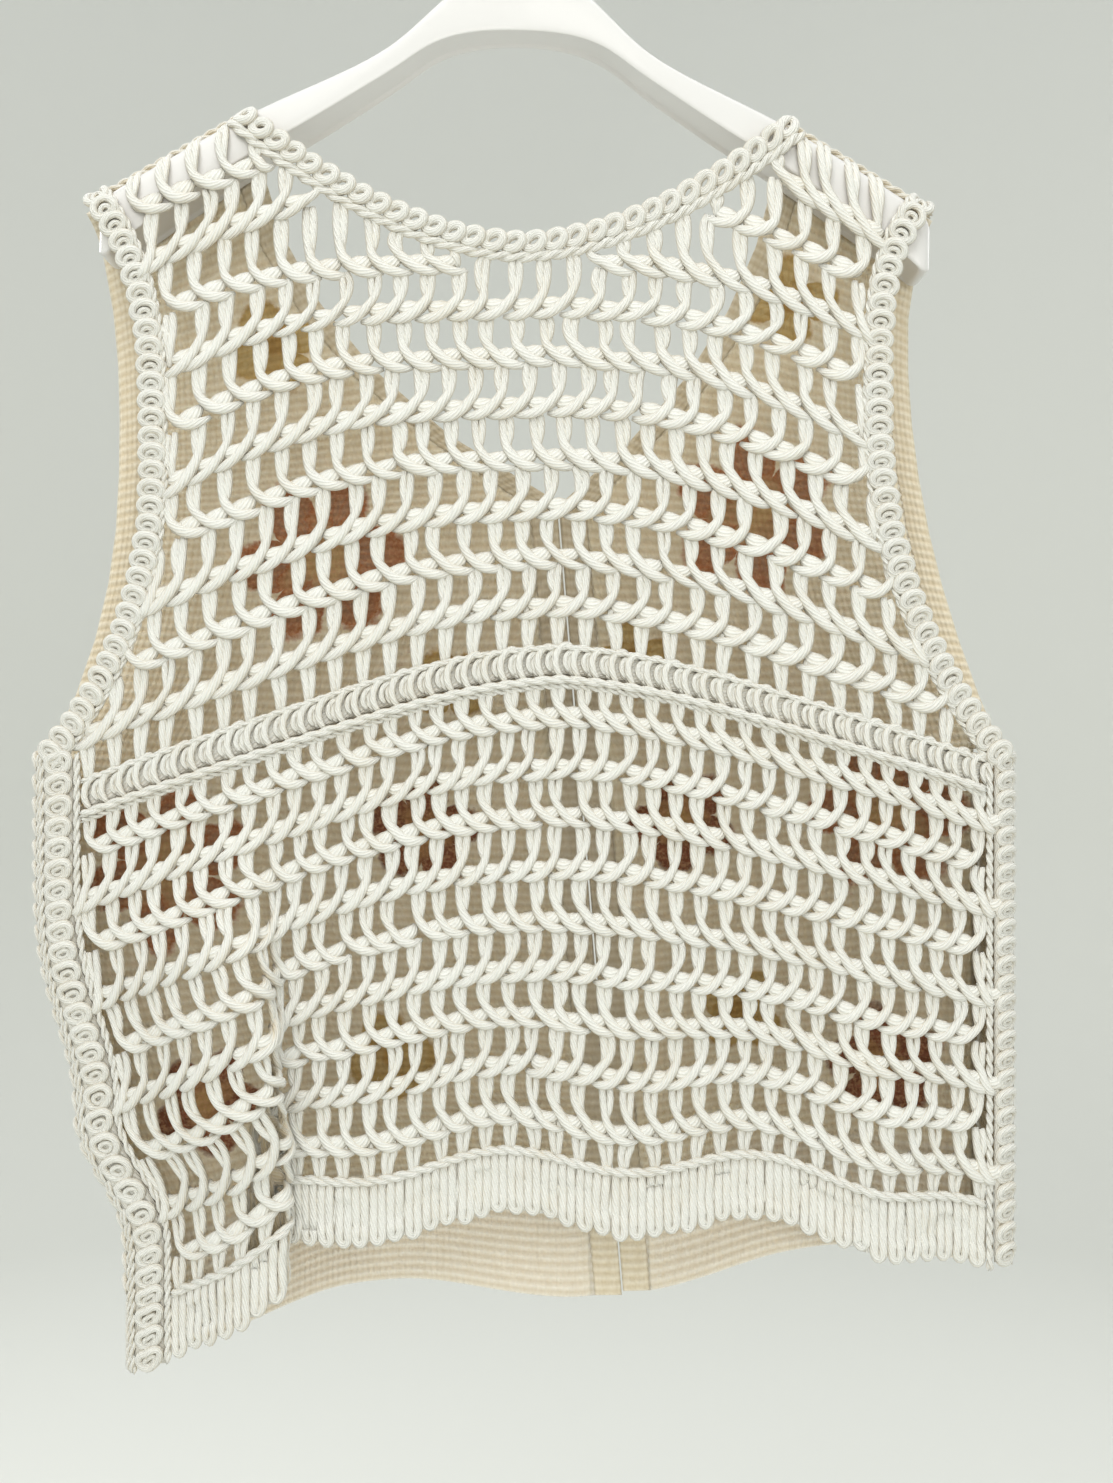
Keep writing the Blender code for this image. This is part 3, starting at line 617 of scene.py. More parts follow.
@dataclass
class YarnPile(MeshPile):
    """Runs of yarn gathered into one mesh."""

    sides: int = 8
    sections_a_turn: float = 6.8  # of a twisted rope

    def tube(self, path: Array, normals: Array, widths: Array, depths: Array, closed: bool = False) -> None:
        """Adds one run of yarn with an oval section.

        Args:
            path: its centre line.
            normals: the cloth's outward normal along it.
            widths: its width in the cloth's plane.
            depths: its thickness across the cloth.
            closed: it is a ring.
        """
        n, k = len(path), self.sides
        if closed:
            tangent = unit(np.roll(path, -1, axis=0) - np.roll(path, 1, axis=0))
        else:
            tangent = unit(np.gradient(path, axis=0))
        side = unit(np.cross(tangent, normals))
        up = np.cross(side, tangent)
        angle = 2.0 * math.pi * np.arange(k) / k
        across = side[:, None] * (0.5 * widths[:, None] * np.cos(angle))[..., None]
        outward = up[:, None] * (0.5 * depths[:, None] * np.sin(angle))[..., None]
        points = (path[:, None] + across + outward).reshape(-1, 3)

        rings = n if closed else n - 1
        i, j = np.meshgrid(np.arange(rings), np.arange(k), indexing="ij")
        following, turned = (i + 1) % n, (j + 1) % k
        quads = np.stack([i * k + j, following * k + j, following * k + turned, i * k + turned], -1).reshape(-1, 4)
        steps = np.linalg.norm(np.diff(path, axis=0), axis=1)
        length = np.concatenate([[0.0], np.cumsum(steps)])
        if closed:
            length = np.append(length, length[-1] + np.linalg.norm(path[0] - path[-1]))
        girth = 0.5 * math.pi * float(np.mean(widths + depths))
        u0, u1, v0, v1 = length[i], length[i + 1], j * girth / k, (j + 1) * girth / k
        uv = np.stack([u0, v0, u1, v0, u1, v1, u0, v1], -1).reshape(-1, 4, 2)
        faces = [(quads, uv)]
        if not closed:
            spin = np.stack([np.full(k, 0.0), np.arange(k) * girth / k], -1)[None]
            faces.append((np.arange(k)[None], spin))
            faces.append(((np.arange(k)[::-1] + (n - 1) * k)[None], spin[:, ::-1] + [length[-1], 0.0]))
        # Painted shade: 0 on the crown of the yarn and 1 on its underside, which is painted darker.
        tones = np.tile(0.5 - 0.5 * np.sin(angle), n)
        self.add(points, faces, tones)

    def run(self, place: Placer, rows: Sequence[Sequence[float]], count: int, closed: bool = False) -> None:
        """Adds one run of yarn drawn by a table.

        Args:
            place: lays it on the cloth.
            rows: along, up, lift, width and thickness at each point.
            count: how many sections the run gets.
            closed: it is a ring.
        """
        line = curve_through(rows, count, closed)
        path, normals = place(line[:, 0], line[:, 1], line[:, 2])
        self.tube(path, normals, np.maximum(line[:, 3], 0.3), np.maximum(line[:, 4], 0.3), closed)

    def rope(self, place: Placer, length: float, twist: float, strand: float, radius: float, lift: float) -> None:
        """Adds a twisted rope of two strands that lies along the placer's first direction.

        Args:
            place: lays it on the cloth.
            length: how far it runs.
            twist: length of one turn.
            strand: thickness of a strand.
            radius: how far a strand's centre is from the rope's.
            lift: how far its centre stands off.
        """
        count = max(12, round(self.sections_a_turn * length / twist))
        along = np.linspace(0.0, length, count)
        widths = strand * np.clip(np.minimum(along, length - along) / 1.2, 0.25, 1.0)
        for half_turn in (0.0, 0.5):
            angle = 2.0 * math.pi * (along / twist + half_turn)
            path, normals = place(along, radius * np.cos(angle), lift + radius * np.sin(angle))
            self.tube(path, normals, widths, widths)


def knit_shell(name: str, points: Array, normals: Array, relief: Array, wall: float, uv: Array) -> Piece:
    """A closed wall of knitted cloth whose two faces carry the same ribs.

    Args:
        name: the object's name.
        points: a grid of points along the middle of the wall.
        normals: the cloth's outward normal at each.
        relief: how far the ribs stand out at each.
        wall: the wall's thickness between the ribs.
        uv: the UV of each point, in millimetres.

    Returns:
        The object.
    """
    rows, columns = points.shape[:2]
    row, column = np.meshgrid(np.arange(rows), np.arange(columns), indexing="ij")
    rim = np.minimum(np.minimum(row, rows - 1 - row), np.minimum(column, columns - 1 - column))
    half = (0.5 * wall + relief) * np.where(rim == 0, 0.45, np.where(rim == 1, 0.86, 1.0))
    outer = points + normals * half[..., None]
    inner = points - normals * half[..., None]
    ids, total = row * columns + column, rows * columns
    quads = np.stack([ids[:-1, :-1], ids[:-1, 1:], ids[1:, 1:], ids[1:, :-1]], -1).reshape(-1, 4)
    facing = np.cross(points[0, 1] - points[0, 0], points[1, 0] - points[0, 0])
    if float(np.dot(facing, normals[0, 0])) < 0.0:
        quads = quads[:, ::-1]
    border = np.concatenate([ids[0, :-1], ids[:-1, -1], ids[-1, :0:-1], ids[:0:-1, 0]])
    following = np.roll(border, -1)
    rim_quads = np.stack([following, border, border + total, following + total], -1)
    if quads[0, 1] != 1:
        rim_quads = rim_quads[:, ::-1]
    flat = uv.reshape(-1, 2)
    both = np.concatenate([flat, flat])
    faces = [(quads, flat[quads]), (quads[:, ::-1] + total, flat[quads[:, ::-1]]), (rim_quads, both[rim_quads])]
    # Painted shade: 1 deep in the grooves between the ribs and 0 on their crowns.
    groove_shade = 1.0 - np.clip(relief / max(float(relief.max()), 1e-6), 0.0, 1.0).reshape(-1)
    pile = MeshPile()
    pile.add(np.concatenate([outer.reshape(-1, 3), inner.reshape(-1, 3)]), faces, np.concatenate([groove_shade, groove_shade]))
    return pile.build(name)


# --- Finishes ---


def linear(hex_colour: str) -> Row:
    """Turns an sRGB hex colour to linear RGBA."""
    parts = [int(hex_colour[start : start + 2], 16) / 255.0 for start in (1, 3, 5)]
    return (*(c / 12.92 if c <= 0.04045 else ((c + 0.055) / 1.055) ** 2.4 for c in parts), 1.0)


def add_node(tree: bpy.types.NodeTree, kind: str, inputs: dict | None = None, **settings) -> bpy.types.Node:
    """Adds a node.

    Args:
        tree: where it goes.
        kind: its type.
        inputs: a value or a socket for each input, by name or number.
        settings: its properties.

    Returns:
        The node.
    """
    made = tree.nodes.new(kind)
    for name, value in settings.items():
        setattr(made, name, value)
    for name, value in (inputs or {}).items():
        if isinstance(value, bpy.types.NodeSocket):
            tree.links.new(value, made.inputs[name])
        else:
            made.inputs[name].default_value = value
    return made


@dataclass(frozen=True)
class Painter:
    """A material's nodes and its shader, with one call for each kind of step."""

    tree: bpy.types.NodeTree
    shader: bpy.types.Node

    @property
    def place(self) -> Socket:
        """Where a point is on the object, in metres."""
        return add_node(self.tree, "ShaderNodeTexCoord").outputs["Object"]

    @property
    def uv(self) -> Socket:
        """Where a point is along and round its yarn, or on its cloth, in millimetres."""
        return add_node(self.tree, "ShaderNodeUVMap", uv_map="yarn").outputs["UV"]

    def mark(self, name: str, output: str = "Fac") -> Socket:
        """A value that each point of the mesh carries."""
        return add_node(self.tree, "ShaderNodeAttribute", attribute_name=name).outputs[output]

    def clouds(self, place: Socket, scale: float, detail: float) -> Socket:
        """Uneven soft patches."""
        inputs = {"Vector": place, "Scale": scale, "Detail": detail}
        return add_node(self.tree, "ShaderNodeTexNoise", inputs).outputs["Fac"]

    def bands(self, place: Socket, spacing: float, distortion: float, **more: float) -> Socket:
        """Bands this far apart, in the coordinates' own unit."""
        inputs = {"Vector": place, "Scale": math.pi / (10.0 * spacing), "Distortion": distortion, **more}
        return add_node(self.tree, "ShaderNodeTexWave", inputs).outputs["Fac"]

    def maths(self, operation: str, *values: Socket | float, clamp: bool = False) -> Socket:
        """One step of arithmetic."""
        inputs = dict(enumerate(values))
        return add_node(self.tree, "ShaderNodeMath", inputs, operation=operation, use_clamp=clamp).outputs[0]

    def blend(self, amount: Socket | float, first: object, second: object, mode: str = "MIX") -> Socket:
        """One colour over another: each a socket or an sRGB hex colour."""
        first, second = (linear(colour) if isinstance(colour, str) else colour for colour in (first, second))
        inputs = {"Factor": amount, "A": first, "B": second}
        return add_node(self.tree, "ShaderNodeMix", inputs, data_type="RGBA", blend_type=mode).outputs["Result"]

    def colour(self, colour: Socket | str) -> None:
        """Gives the shader its colour: a socket, or one sRGB hex colour all over."""
        base = self.shader.inputs["Base Color"]
        if isinstance(colour, str):
            base.default_value = linear(colour)
        else:
            self.tree.links.new(colour, base)

    def relief(self, height: Socket, strength: float, depth: float) -> None:
        """Gives the shader a fine relief of this depth in millimetres."""
        bump = add_node(self.tree, "ShaderNodeBump", {"Height": height, "Strength": strength, "Distance": depth * MM})
        self.tree.links.new(bump.outputs["Normal"], self.shader.inputs["Normal"])


@dataclass(frozen=True)
class Finish:
    """A material's name and the values that are the same all over it."""

    name: str
    roughness: float = 0.5
    metallic: float = 0.0
    ior: float = 1.5
    sheen: float = 0.0
    coat: float = 0.0
    glow: float = 0.0  # how much of the light passes into it and on
    glow_depth: float = 1.0
    glow_tint: Row = (1.0, 0.96, 0.88)

    def make(self) -> bpy.types.Material:
        """Makes the material, or returns it if it is already there."""
        found = bpy.data.materials.get(self.name)
        if found is not None:
            return found
        made = bpy.data.materials.new(self.name)
        made.use_nodes = True
        shader = made.node_tree.nodes["Principled BSDF"]
        for name, value in (
            ("Roughness", self.roughness), ("Metallic", self.metallic), ("IOR", self.ior),
            ("Sheen Weight", self.sheen), ("Coat Weight", self.coat), ("Subsurface Weight", self.glow),
            ("Subsurface Radius", self.glow_tint), ("Subsurface Scale", self.glow_depth * MM),
        ):
            shader.inputs[name].default_value = value
        self.paint(Painter(made.node_tree, shader))
        return made

    def paint(self, nodes: Painter) -> None:
        """Adds the colour and the fine surface."""


@dataclass(frozen=True)
class CottonCord(Finish):
    """Soft plied cotton cord, undyed: matt and a little uneven, its plies drawn as fine slanting lines."""

    # The light colour is the cord's own cream; the dark one is painted shade for its underside and the grooves
    # between its plies.
    light: str = "#ECECE6"
    dark: str = "#CEBB94"
    ply_spacing: float = 1.2  # the real plies lie 0.7 mm apart, too fine to show
    ply_slant: float = 74.0  # degrees
    ply_depth: float = 0.36
    fuzz: float = 0.9
    sheen: float = 0.22

    def paint(self, nodes: Painter) -> None:
        """Cream with warmer painted shade on the yarn's underside and in its ply grooves, and a relief of slanting
        plies and loose fibres.
        """
        turn = {"Vector": nodes.uv, "Rotation": (0.0, 0.0, math.radians(self.ply_slant))}
        turned = add_node(nodes.tree, "ShaderNodeMapping", turn).outputs[0]
        plies = nodes.bands(turned, self.ply_spacing, 1.6, **{"Detail": 1.0, "Detail Scale": 0.6})
        # Painted shade on the yarn's underside and in the grooves between its plies, plus a random mottle.
        under = nodes.maths("MULTIPLY_ADD", nodes.mark("painted_shade"), 0.85, -0.12)
        grooves = nodes.maths("MULTIPLY_ADD", plies, -0.22, under)
        shade = nodes.maths("MULTIPLY_ADD", nodes.clouds(nodes.place, 70.0, 3.0), 0.45, grooves, clamp=True)
        nodes.colour(nodes.blend(shade, self.light, self.dark))
        heights = nodes.maths("MULTIPLY_ADD", nodes.clouds(nodes.uv, self.fuzz, 4.0), 1.3, plies)
        nodes.relief(heights, 0.9, self.ply_depth)


CORD = CottonCord("undyed_cotton_cord", roughness=0.86, ior=1.47)


# --- Laying pieces on the form ---


class Slot(Enum):
    """The record's material slots."""

    CORD = "cream_cotton_cord"
    KNIT = "beige_cotton_knit"
    RIB = "cream_rib_band"
    PLASTIC = "white_plastic"
    WIRE = "bright_wire"


def settle(piece: Piece, finish: Finish, slot: Slot, nodes: Sequence[str] = ()) -> Piece:
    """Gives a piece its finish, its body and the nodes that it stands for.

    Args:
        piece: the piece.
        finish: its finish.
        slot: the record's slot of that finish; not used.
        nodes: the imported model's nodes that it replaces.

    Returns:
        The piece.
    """
    piece.data.materials.clear()
    piece.data.materials.append(finish.make())
    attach(piece, "root")
    if nodes:
        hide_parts(*nodes)
    log.info("%s: %d faces", piece.name, len(piece.data.polygons))
    return piece


def lay_crochet(
    names: tuple[str, str], piles: tuple[YarnPile, YarnPile], node: str, flat: Pair,
    area: float | None = None,
) -> None:
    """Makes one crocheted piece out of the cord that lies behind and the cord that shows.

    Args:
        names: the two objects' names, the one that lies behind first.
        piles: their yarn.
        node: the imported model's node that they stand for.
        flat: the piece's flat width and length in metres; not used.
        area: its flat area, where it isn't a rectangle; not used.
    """
    behind = settle(piles[0].build(names[0]), CORD, Slot.CORD)
    piece = settle(piles[1].build(names[1]), CORD, Slot.CORD, [node])


def cloth_area(node: str) -> float:
    """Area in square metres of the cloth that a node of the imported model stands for."""
    shape = bmesh.new()
    shape.from_mesh(bpy.data.objects[node].data)
    area = sum(face.calc_area() for face in shape.faces)
    shape.free()
    return 0.5 * area


def on_back(s: float, t: float, up: float = 0.0) -> Placer:
    """A placer with its origin this far above the point s of the course t, level with the course."""
    return lambda a, b, lift: FORM.wrap(s + a, t, b + up, lift)


@dataclass(frozen=True)
class EdgeLine:
    """A line on the upper cloth that trims are set along."""

    x: Array
    z: Array
    inward: float  # 1 if the cloth lies to the left of the line's direction, else -1
    face: Face

    @cached_property
    def distance(self) -> Array:
        """Distance along the line of each of its points."""
        return np.concatenate([[0.0], np.cumsum(np.hypot(np.diff(self.x), np.diff(self.z)))])

    @property
    def length(self) -> float:
        """The line's length."""
        return float(self.distance[-1])

    def at(self, along: Array, inset: Array) -> Arrays:
        """X and Z of points this far along the line and this far into the cloth."""
        slope_x, slope_z = np.gradient(self.x, self.distance), np.gradient(self.z, self.distance)
        tx, tz = np.interp(along, self.distance, slope_x), np.interp(along, self.distance, slope_z)
        size = np.hypot(tx, tz)
        x = np.interp(along, self.distance, self.x) + np.minimum(along, 0.0) * self.slope_start[0]
        z = np.interp(along, self.distance, self.z) + np.minimum(along, 0.0) * self.slope_start[1]
        beyond = np.maximum(along - self.length, 0.0)
        x, z = x + beyond * tx / size, z + beyond * tz / size
        return x - inset * self.inward * tz / size, z + inset * self.inward * tx / size

    @cached_property
    def slope_start(self) -> Pair:
        """Direction of the line at its start."""
        dx, dz = float(self.x[1] - self.x[0]), float(self.z[1] - self.z[0])
        return dx / math.hypot(dx, dz), dz / math.hypot(dx, dz)

    def placer(self, along: float, inset: float) -> Placer:
        """A placer with its origin on the line: along runs with the line, and up runs into the cloth."""
        return lambda a, b, lift: FORM.hang(*self.at(along + a, inset + b), lift, self.face)


# --- Lace ---


def swept(rows: Iterable[Row], sweep: float) -> list[Row]:
    """Rows of along, up, lift, width and thickness, turned over along the course if sweep is -1."""
    return [(sweep * along, *rest) for along, *rest in rows]


@dataclass(frozen=True)
class FanStitch:
    """One stitch of the lace: a post of two strands that runs out sideways into a chain stitch."""

    pitch: float
    strand: float  # width of a strand of the post
    splay: float  # how far apart the two strands start
    least_tail: float = 0.42  # a tail with less room than this share of its length is left out

    def chain(self, rise: float, sweep: float, tail: float, width: float) -> list[Row]:
        """The front strand and the tail that it runs out into.

        Args:
            rise: height from this course to the cloth above it.
            sweep: 1 if the tail runs to the right, and -1 to the left.
            tail: share of the tail's full length.
            width: share of the full width.

        Returns:
            Its rows for YarnPile.run.
        """
        p, w, apart = self.pitch, self.strand * width, 0.5 * self.splay
        rows = (
            (-apart * 0.8, rise - 0.5, -0.2, 0.80 * w, 2.4),
            (-apart, 0.84 * rise, 0.2, 1.00 * w, 2.8),
            (-apart * 0.9, 0.60 * rise, 0.6, 1.04 * w, 3.1),
            (-apart * 0.4, 0.41 * rise, 1.1, 1.04 * w, 3.3),
            (0.06 * p, min(6.0, 0.26 * rise), 1.6, 1.10 * w, 3.6),
            (0.22 * p * tail, min(2.9, 0.13 * rise), 2.1, 1.18 * w, 3.9),
            (0.40 * p * tail, 0.2, 2.4, 1.24 * w, 4.0),
            (0.64 * p * tail, -2.3, 2.5, 1.26 * w, 4.0),
            (0.92 * p * tail, -3.7, 2.2, 1.22 * w, 3.8),
            (1.22 * p * tail, -4.1, 1.1, 0.98 * w, 3.1),
            (1.50 * p * tail, -3.4, -0.4, 0.50 * w, 1.8),
        )
        if tail < self.least_tail:
            rows = (*rows[:4], (0.0, 0.12 * rise, 0.6, 0.9 * w, 2.9), (0.0, -1.0, -0.2, 0.6 * w, 2.2))
        return swept(rows, sweep)

    def rear_strand(self, rise: float, sweep: float, width: float) -> list[Row]:
        """The strand behind, which closes up to the front one near its foot."""
        w, apart = self.strand * width, 0.5 * self.splay
        rows = (
            (apart * 1.0, rise - 0.5, 0.0, 0.72 * w, 2.3),
            (apart * 1.25, 0.82 * rise, 0.5, 0.95 * w, 2.7),
            (apart * 1.15, 0.56 * rise, 0.7, 0.98 * w, 2.8),
            (apart * 0.75, 0.34 * rise, 0.5, 0.84 * w, 2.5),
            (apart * 0.6, 0.12 * rise, 0.2, 0.5 * w, 1.9),
        )
        return swept(rows, sweep)

    def knot(self, sweep: float, width: float) -> list[Row]:
        """The chain stitch's upper leg, which gives the course its scalloped top."""
        p, w = self.pitch, self.strand * width
        rows = (
            (0.08 * p, 3.6, -0.4, 0.90 * w, 2.2),
            (0.26 * p, 1.8, 0.4, 1.35 * w, 3.0),
            (0.48 * p, 0.7, 1.1, 1.78 * w, 3.7),
            (0.72 * p, 0.8, 1.3, 1.95 * w, 4.0),
            (0.93 * p, 2.1, 0.5, 1.62 * w, 3.3),
            (1.07 * p, 4.2, -1.4, 0.80 * w, 1.9),
        )
        return swept(rows, sweep)


class Sweep(Enum):
    """Which way a course's chain stitches run out."""

    LEFT = -1.0
    RIGHT = 1.0


@dataclass
class Lace:
    """A panel of lace: courses of fan stitches that sweep one way and then the other."""

    stitch: FanStitch
    courses: Row
    seed: int
    end_margin: float = 3.0  # from a course's end to its first post
    tail_reach: float = 1.50  # full length of a tail, in stitches
    chains: YarnPile = field(default_factory=YarnPile)
    knots: YarnPile = field(default_factory=YarnPile)

    def sweep(self, number: int) -> Sweep:
        """Which way a course sweeps: the first to the right, the next to the left, and so on."""
        return Sweep.LEFT if number % 2 else Sweep.RIGHT

    def place_on(self, s: float, t: float) -> Placer:
        """A placer whose origin is the point s of the course t."""
        raise NotImplementedError

    def spans(self, t: float) -> list[Pair]:
        """The stretches of s over which there is cloth at the course t."""
        raise NotImplementedError

    def rise(self, s: float, number: int) -> float:
        """Height from a course to the cloth above it."""
        raise NotImplementedError

    def work(self) -> None:
        """Works every course."""
        rng = np.random.default_rng(self.seed)
        for number, t in enumerate(self.courses):
            for start, end in self.spans(t):
                width = end - start - 2.0 * self.end_margin
                count = max(1, round(width / self.stitch.pitch))
                for index in range(count + 1):
                    s = start + self.end_margin + width * index / count
                    self.work_stitch(rng, s, number, end if self.sweep(number) is Sweep.RIGHT else start)

    def work_stitch(self, rng: np.random.Generator, s: float, number: int, limit: float) -> None:
        """Works one stitch.

        Args:
            rng: makes the stitches uneven.
            s: where it stands on its course.
            number: which course it is.
            limit: s of the end that the tail runs to.
        """
        t, sign = self.courses[number], self.sweep(number).value
        s += rng.normal(0.0, 0.45)
        rise = self.rise(s, number) + rng.normal(0.0, 0.3)
        tail = 1.0 + rng.normal(0.0, 0.05)
        width = 1.0 + rng.normal(0.0, 0.06)
        drop, out, lean = rng.normal(0.0, 0.35), rng.normal(0.0, 0.2), rng.normal(0.0, 0.9)
        reach = self.tail_reach * self.stitch.pitch
        room = abs(limit - s) + 5.0
        share = min(tail, room / reach)
        base = self.place_on(s, t)

        def place(a: Array, b: Array, lift: Array) -> Arrays:
            """Lays this stitch, a little off its place."""
            leaning = lean * smooth(b, 3.0, 12.0) * (1.0 - smooth(b, rise - 6.0, rise))
            return base(a + leaning, b + drop * np.exp(-np.abs(b) / 9.0), lift + out)

        self.chains.run(place, self.stitch.chain(rise, sign, share, width), 21)
        if rise > 9.0:
            self.chains.run(place, self.stitch.rear_strand(rise, sign, width), 9)
        if room > 0.7 * self.stitch.pitch:
            self.knots.run(place, self.stitch.knot(sign, width), 11)

    def straight_posts(self, t: float, below: float, top_width: float) -> None:
        """Works the short straight posts that join the last course to the band below it.

        Args:
            t: the last course.
            below: the course of the band's top edge.
            top_width: how far apart a post's two strands start.
        """
        rng = np.random.default_rng(self.seed + 1)
        for start, end in self.spans(t):
            count = max(1, round((end - start - 2.0 * self.end_margin) / self.stitch.pitch))
            for s in np.linspace(start + self.end_margin, end - self.end_margin, count + 1):
                place = self.place_on(float(s) + rng.normal(0.0, 0.4), t)
                lean, w = rng.normal(0.0, 0.6), self.stitch.strand
                drop = float(FORM.height(s, t) - FORM.height(s, below)) + 1.0
                for side, lift in ((-1.0, 0.5), (1.0, 0.2)):
                    apart = side * 0.5 * top_width
                    rows = (
                        (apart * 0.7, 0.0, lift - 0.6, 0.7 * w, 2.2),
                        (apart, -0.30 * drop, lift, 1.02 * w, 2.9),
                        (apart * 0.8 + lean, -0.62 * drop, lift + 0.2, 0.92 * w, 2.8),
                        (apart * 0.35 + lean, -1.05 * drop, lift, 0.72 * w, 2.4),
                    )
                    self.knots.run(place, rows, 8)


@dataclass
class YokeLace(Lace):
    """The lace above the band, between the armholes, under the neckline and over the shoulders."""

    least_rise: float = 6.5  # a course stops where there is less room above it than this
    seam_reach: float = 0.8  # how near the lace comes to the top of the shoulders

    def place_on(self, s: float, t: float) -> Placer:
        """A placer on the upper back, level with the course."""
        return lambda a, b, lift: FORM.hang(s + a, FORM.height(s + a, t) + b, lift, Face.BACK)

    def top(self, s: Array) -> Array:
        """Height of the upper edge of the lace: the neckline's edging or the shoulder seam."""
        return np.minimum(FORM.neckline_inside(s, FORM.neck_trim - 2.0), FORM.height_at_reach(s, self.seam_reach))

    def rise(self, s: float, number: int) -> float:
        """Height from a course to the course above it, or to the edge of the lace."""
        top = float(self.top(np.array(s)))
        above = float(FORM.height(s, self.courses[number - 1])) if number else top
        if top - above > self.least_rise:
            top = above - 2.0
        return max(top - float(FORM.height(s, self.courses[number])), 6.0)

    def spans(self, t: float) -> list[Pair]:
        """The stretches of s that lie inside the armholes' and the neckline's edgings."""
        s = np.arange(FORM.panel[0], FORM.panel[1] + 0.5, 0.5)
        z = FORM.height(s, t)
        left = np.maximum(FORM.hole_inside(Face.BACK, Side.LEFT, z, FORM.armhole_trim), FORM.panel[0])
        right = np.minimum(FORM.hole_inside(Face.BACK, Side.RIGHT, z, FORM.armhole_trim), FORM.panel[1])
        inside = (s >= left) & (s <= right) & (self.top(s) - z > self.least_rise)
        edges = np.flatnonzero(np.diff(np.concatenate([[False], inside, [False]]).astype(int)))
        return [(float(s[a]), float(s[b - 1])) for a, b in zip(edges[::2], edges[1::2]) if s[b - 1] - s[a] > 12.0]


@dataclass
class BodyLace(Lace):
    """The lace between the yoke band and the hem, pleated at the left."""

    def place_on(self, s: float, t: float) -> Placer:
        """A placer on the lower back."""
        return on_back(s, t)

    def rise(self, s: float, number: int) -> float:
        """Height from a course to the course above it, or to the band."""
        above = self.courses[number - 1] - 2.0 if number else FORM.band_foot + 1.0
        return float(FORM.height(s, above) - FORM.height(s, self.courses[number]))

    def spans(self, t: float) -> list[Pair]:
        """The whole width of the back."""
        return [FORM.panel]


def build_lace() -> None:
    """Builds the lace above and below the yoke band."""
    yoke = YokeLace(
        FanStitch(pitch=13.4, strand=4.15, splay=3.0),
        (-135.0, -178.0, -214.0, -236.0, -259.0, -283.0, -308.0, -332.0, -355.0, -378.0),
        seed=11,
    )
    yoke.work()
    yoke.straight_posts(yoke.courses[-1], FORM.band_top, 3.6)
    body = BodyLace(
        FanStitch(pitch=11.4, strand=3.9, splay=3.2),
        (-431.0, -455.0, -478.0, -503.0, -528.0, -552.0, -575.0, -599.0, -624.0),
        seed=23,
    )
    body.work()
    body.straight_posts(body.courses[-1], FORM.hem_top, 3.8)
    for lace, label, flat in ((yoke, "yoke", (0.47, 0.31)), (body, "body", (0.434, 0.228))):
        node, names = f"back_{label}", (f"{label}_lace_knots", f"{label}_lace_chains")
        lay_crochet(names, (lace.knots, lace.chains), node, flat, cloth_area(node))


# --- Edgings ---


@dataclass(frozen=True)
class RingStitch:
    """A small ring of cord: an oval that leans on the next one."""

    along: float  # outer size along the edging
    across: float  # outer size across it
    cord: float  # thickness of the cord
    tilt: float  # how far one end of the ring lies over the other
    lean: float = 0.0  # how far its top is shifted along
    lift: float = 1.4

    def rows(self, scale: float = 1.0) -> list[Row]:
        """The ring's centre line.

        Args:
            scale: its size, as a share of the full one.

        Returns:
            Its rows for YarnPile.run.
        """
        half_along, half_across = 0.5 * (self.along - self.cord) * scale, 0.5 * (self.across - self.cord) * scale
        rows = []
        for angle in spread(0.0, 2.0 * math.pi, 9)[:-1]:
            a = half_along * math.cos(angle) + self.lean * math.sin(angle)
            lift = self.lift + self.tilt * math.cos(angle)
            rows.append((a, half_across * math.sin(angle), lift, self.cord, self.cord * 0.92))
        return rows


def ring_row(pile: YarnPile, placer_at: Callable[[float], Placer], length: float, pitch: float,
             ring: RingStitch, rng: np.random.Generator, sections: int = 20) -> None:
    """Adds a row of rings.

    Args:
        pile: where they go.
        placer_at: gives the placer for a distance along the row.
        length: the row's length.
        pitch: from ring to ring.
        ring: the ring.
        rng: makes the rings uneven.
        sections: how many sections a ring gets.
    """
    count = max(2, round(length / pitch))
    for index in range(count):
        distance = length * (index + 0.5) / count + rng.normal(0.0, 0.25)
        pile.run(placer_at(distance), ring.rows(1.0 + rng.normal(0.0, 0.035)), sections, closed=True)


def neck_line(inset: float = 0.0) -> EdgeLine:
    """The back neckline from the left shoulder to the right one."""
    x = np.linspace(FORM.neck_end(Side.LEFT, inset), FORM.neck_end(Side.RIGHT, inset), 240)
    return EdgeLine(x, FORM.neckline_inside(x, inset), -1.0, Face.BACK)


def hole_edge(face: Face, side: Side) -> EdgeLine:
    """An armhole's edge from the shoulder down to the underarm."""
    _, top = FORM.shoulder_corner(face, side, 0.0)
    z = np.linspace(top, FORM.underarm, 200)
    return EdgeLine(HOLES[face, side].x(z), z, -side.sign, face)


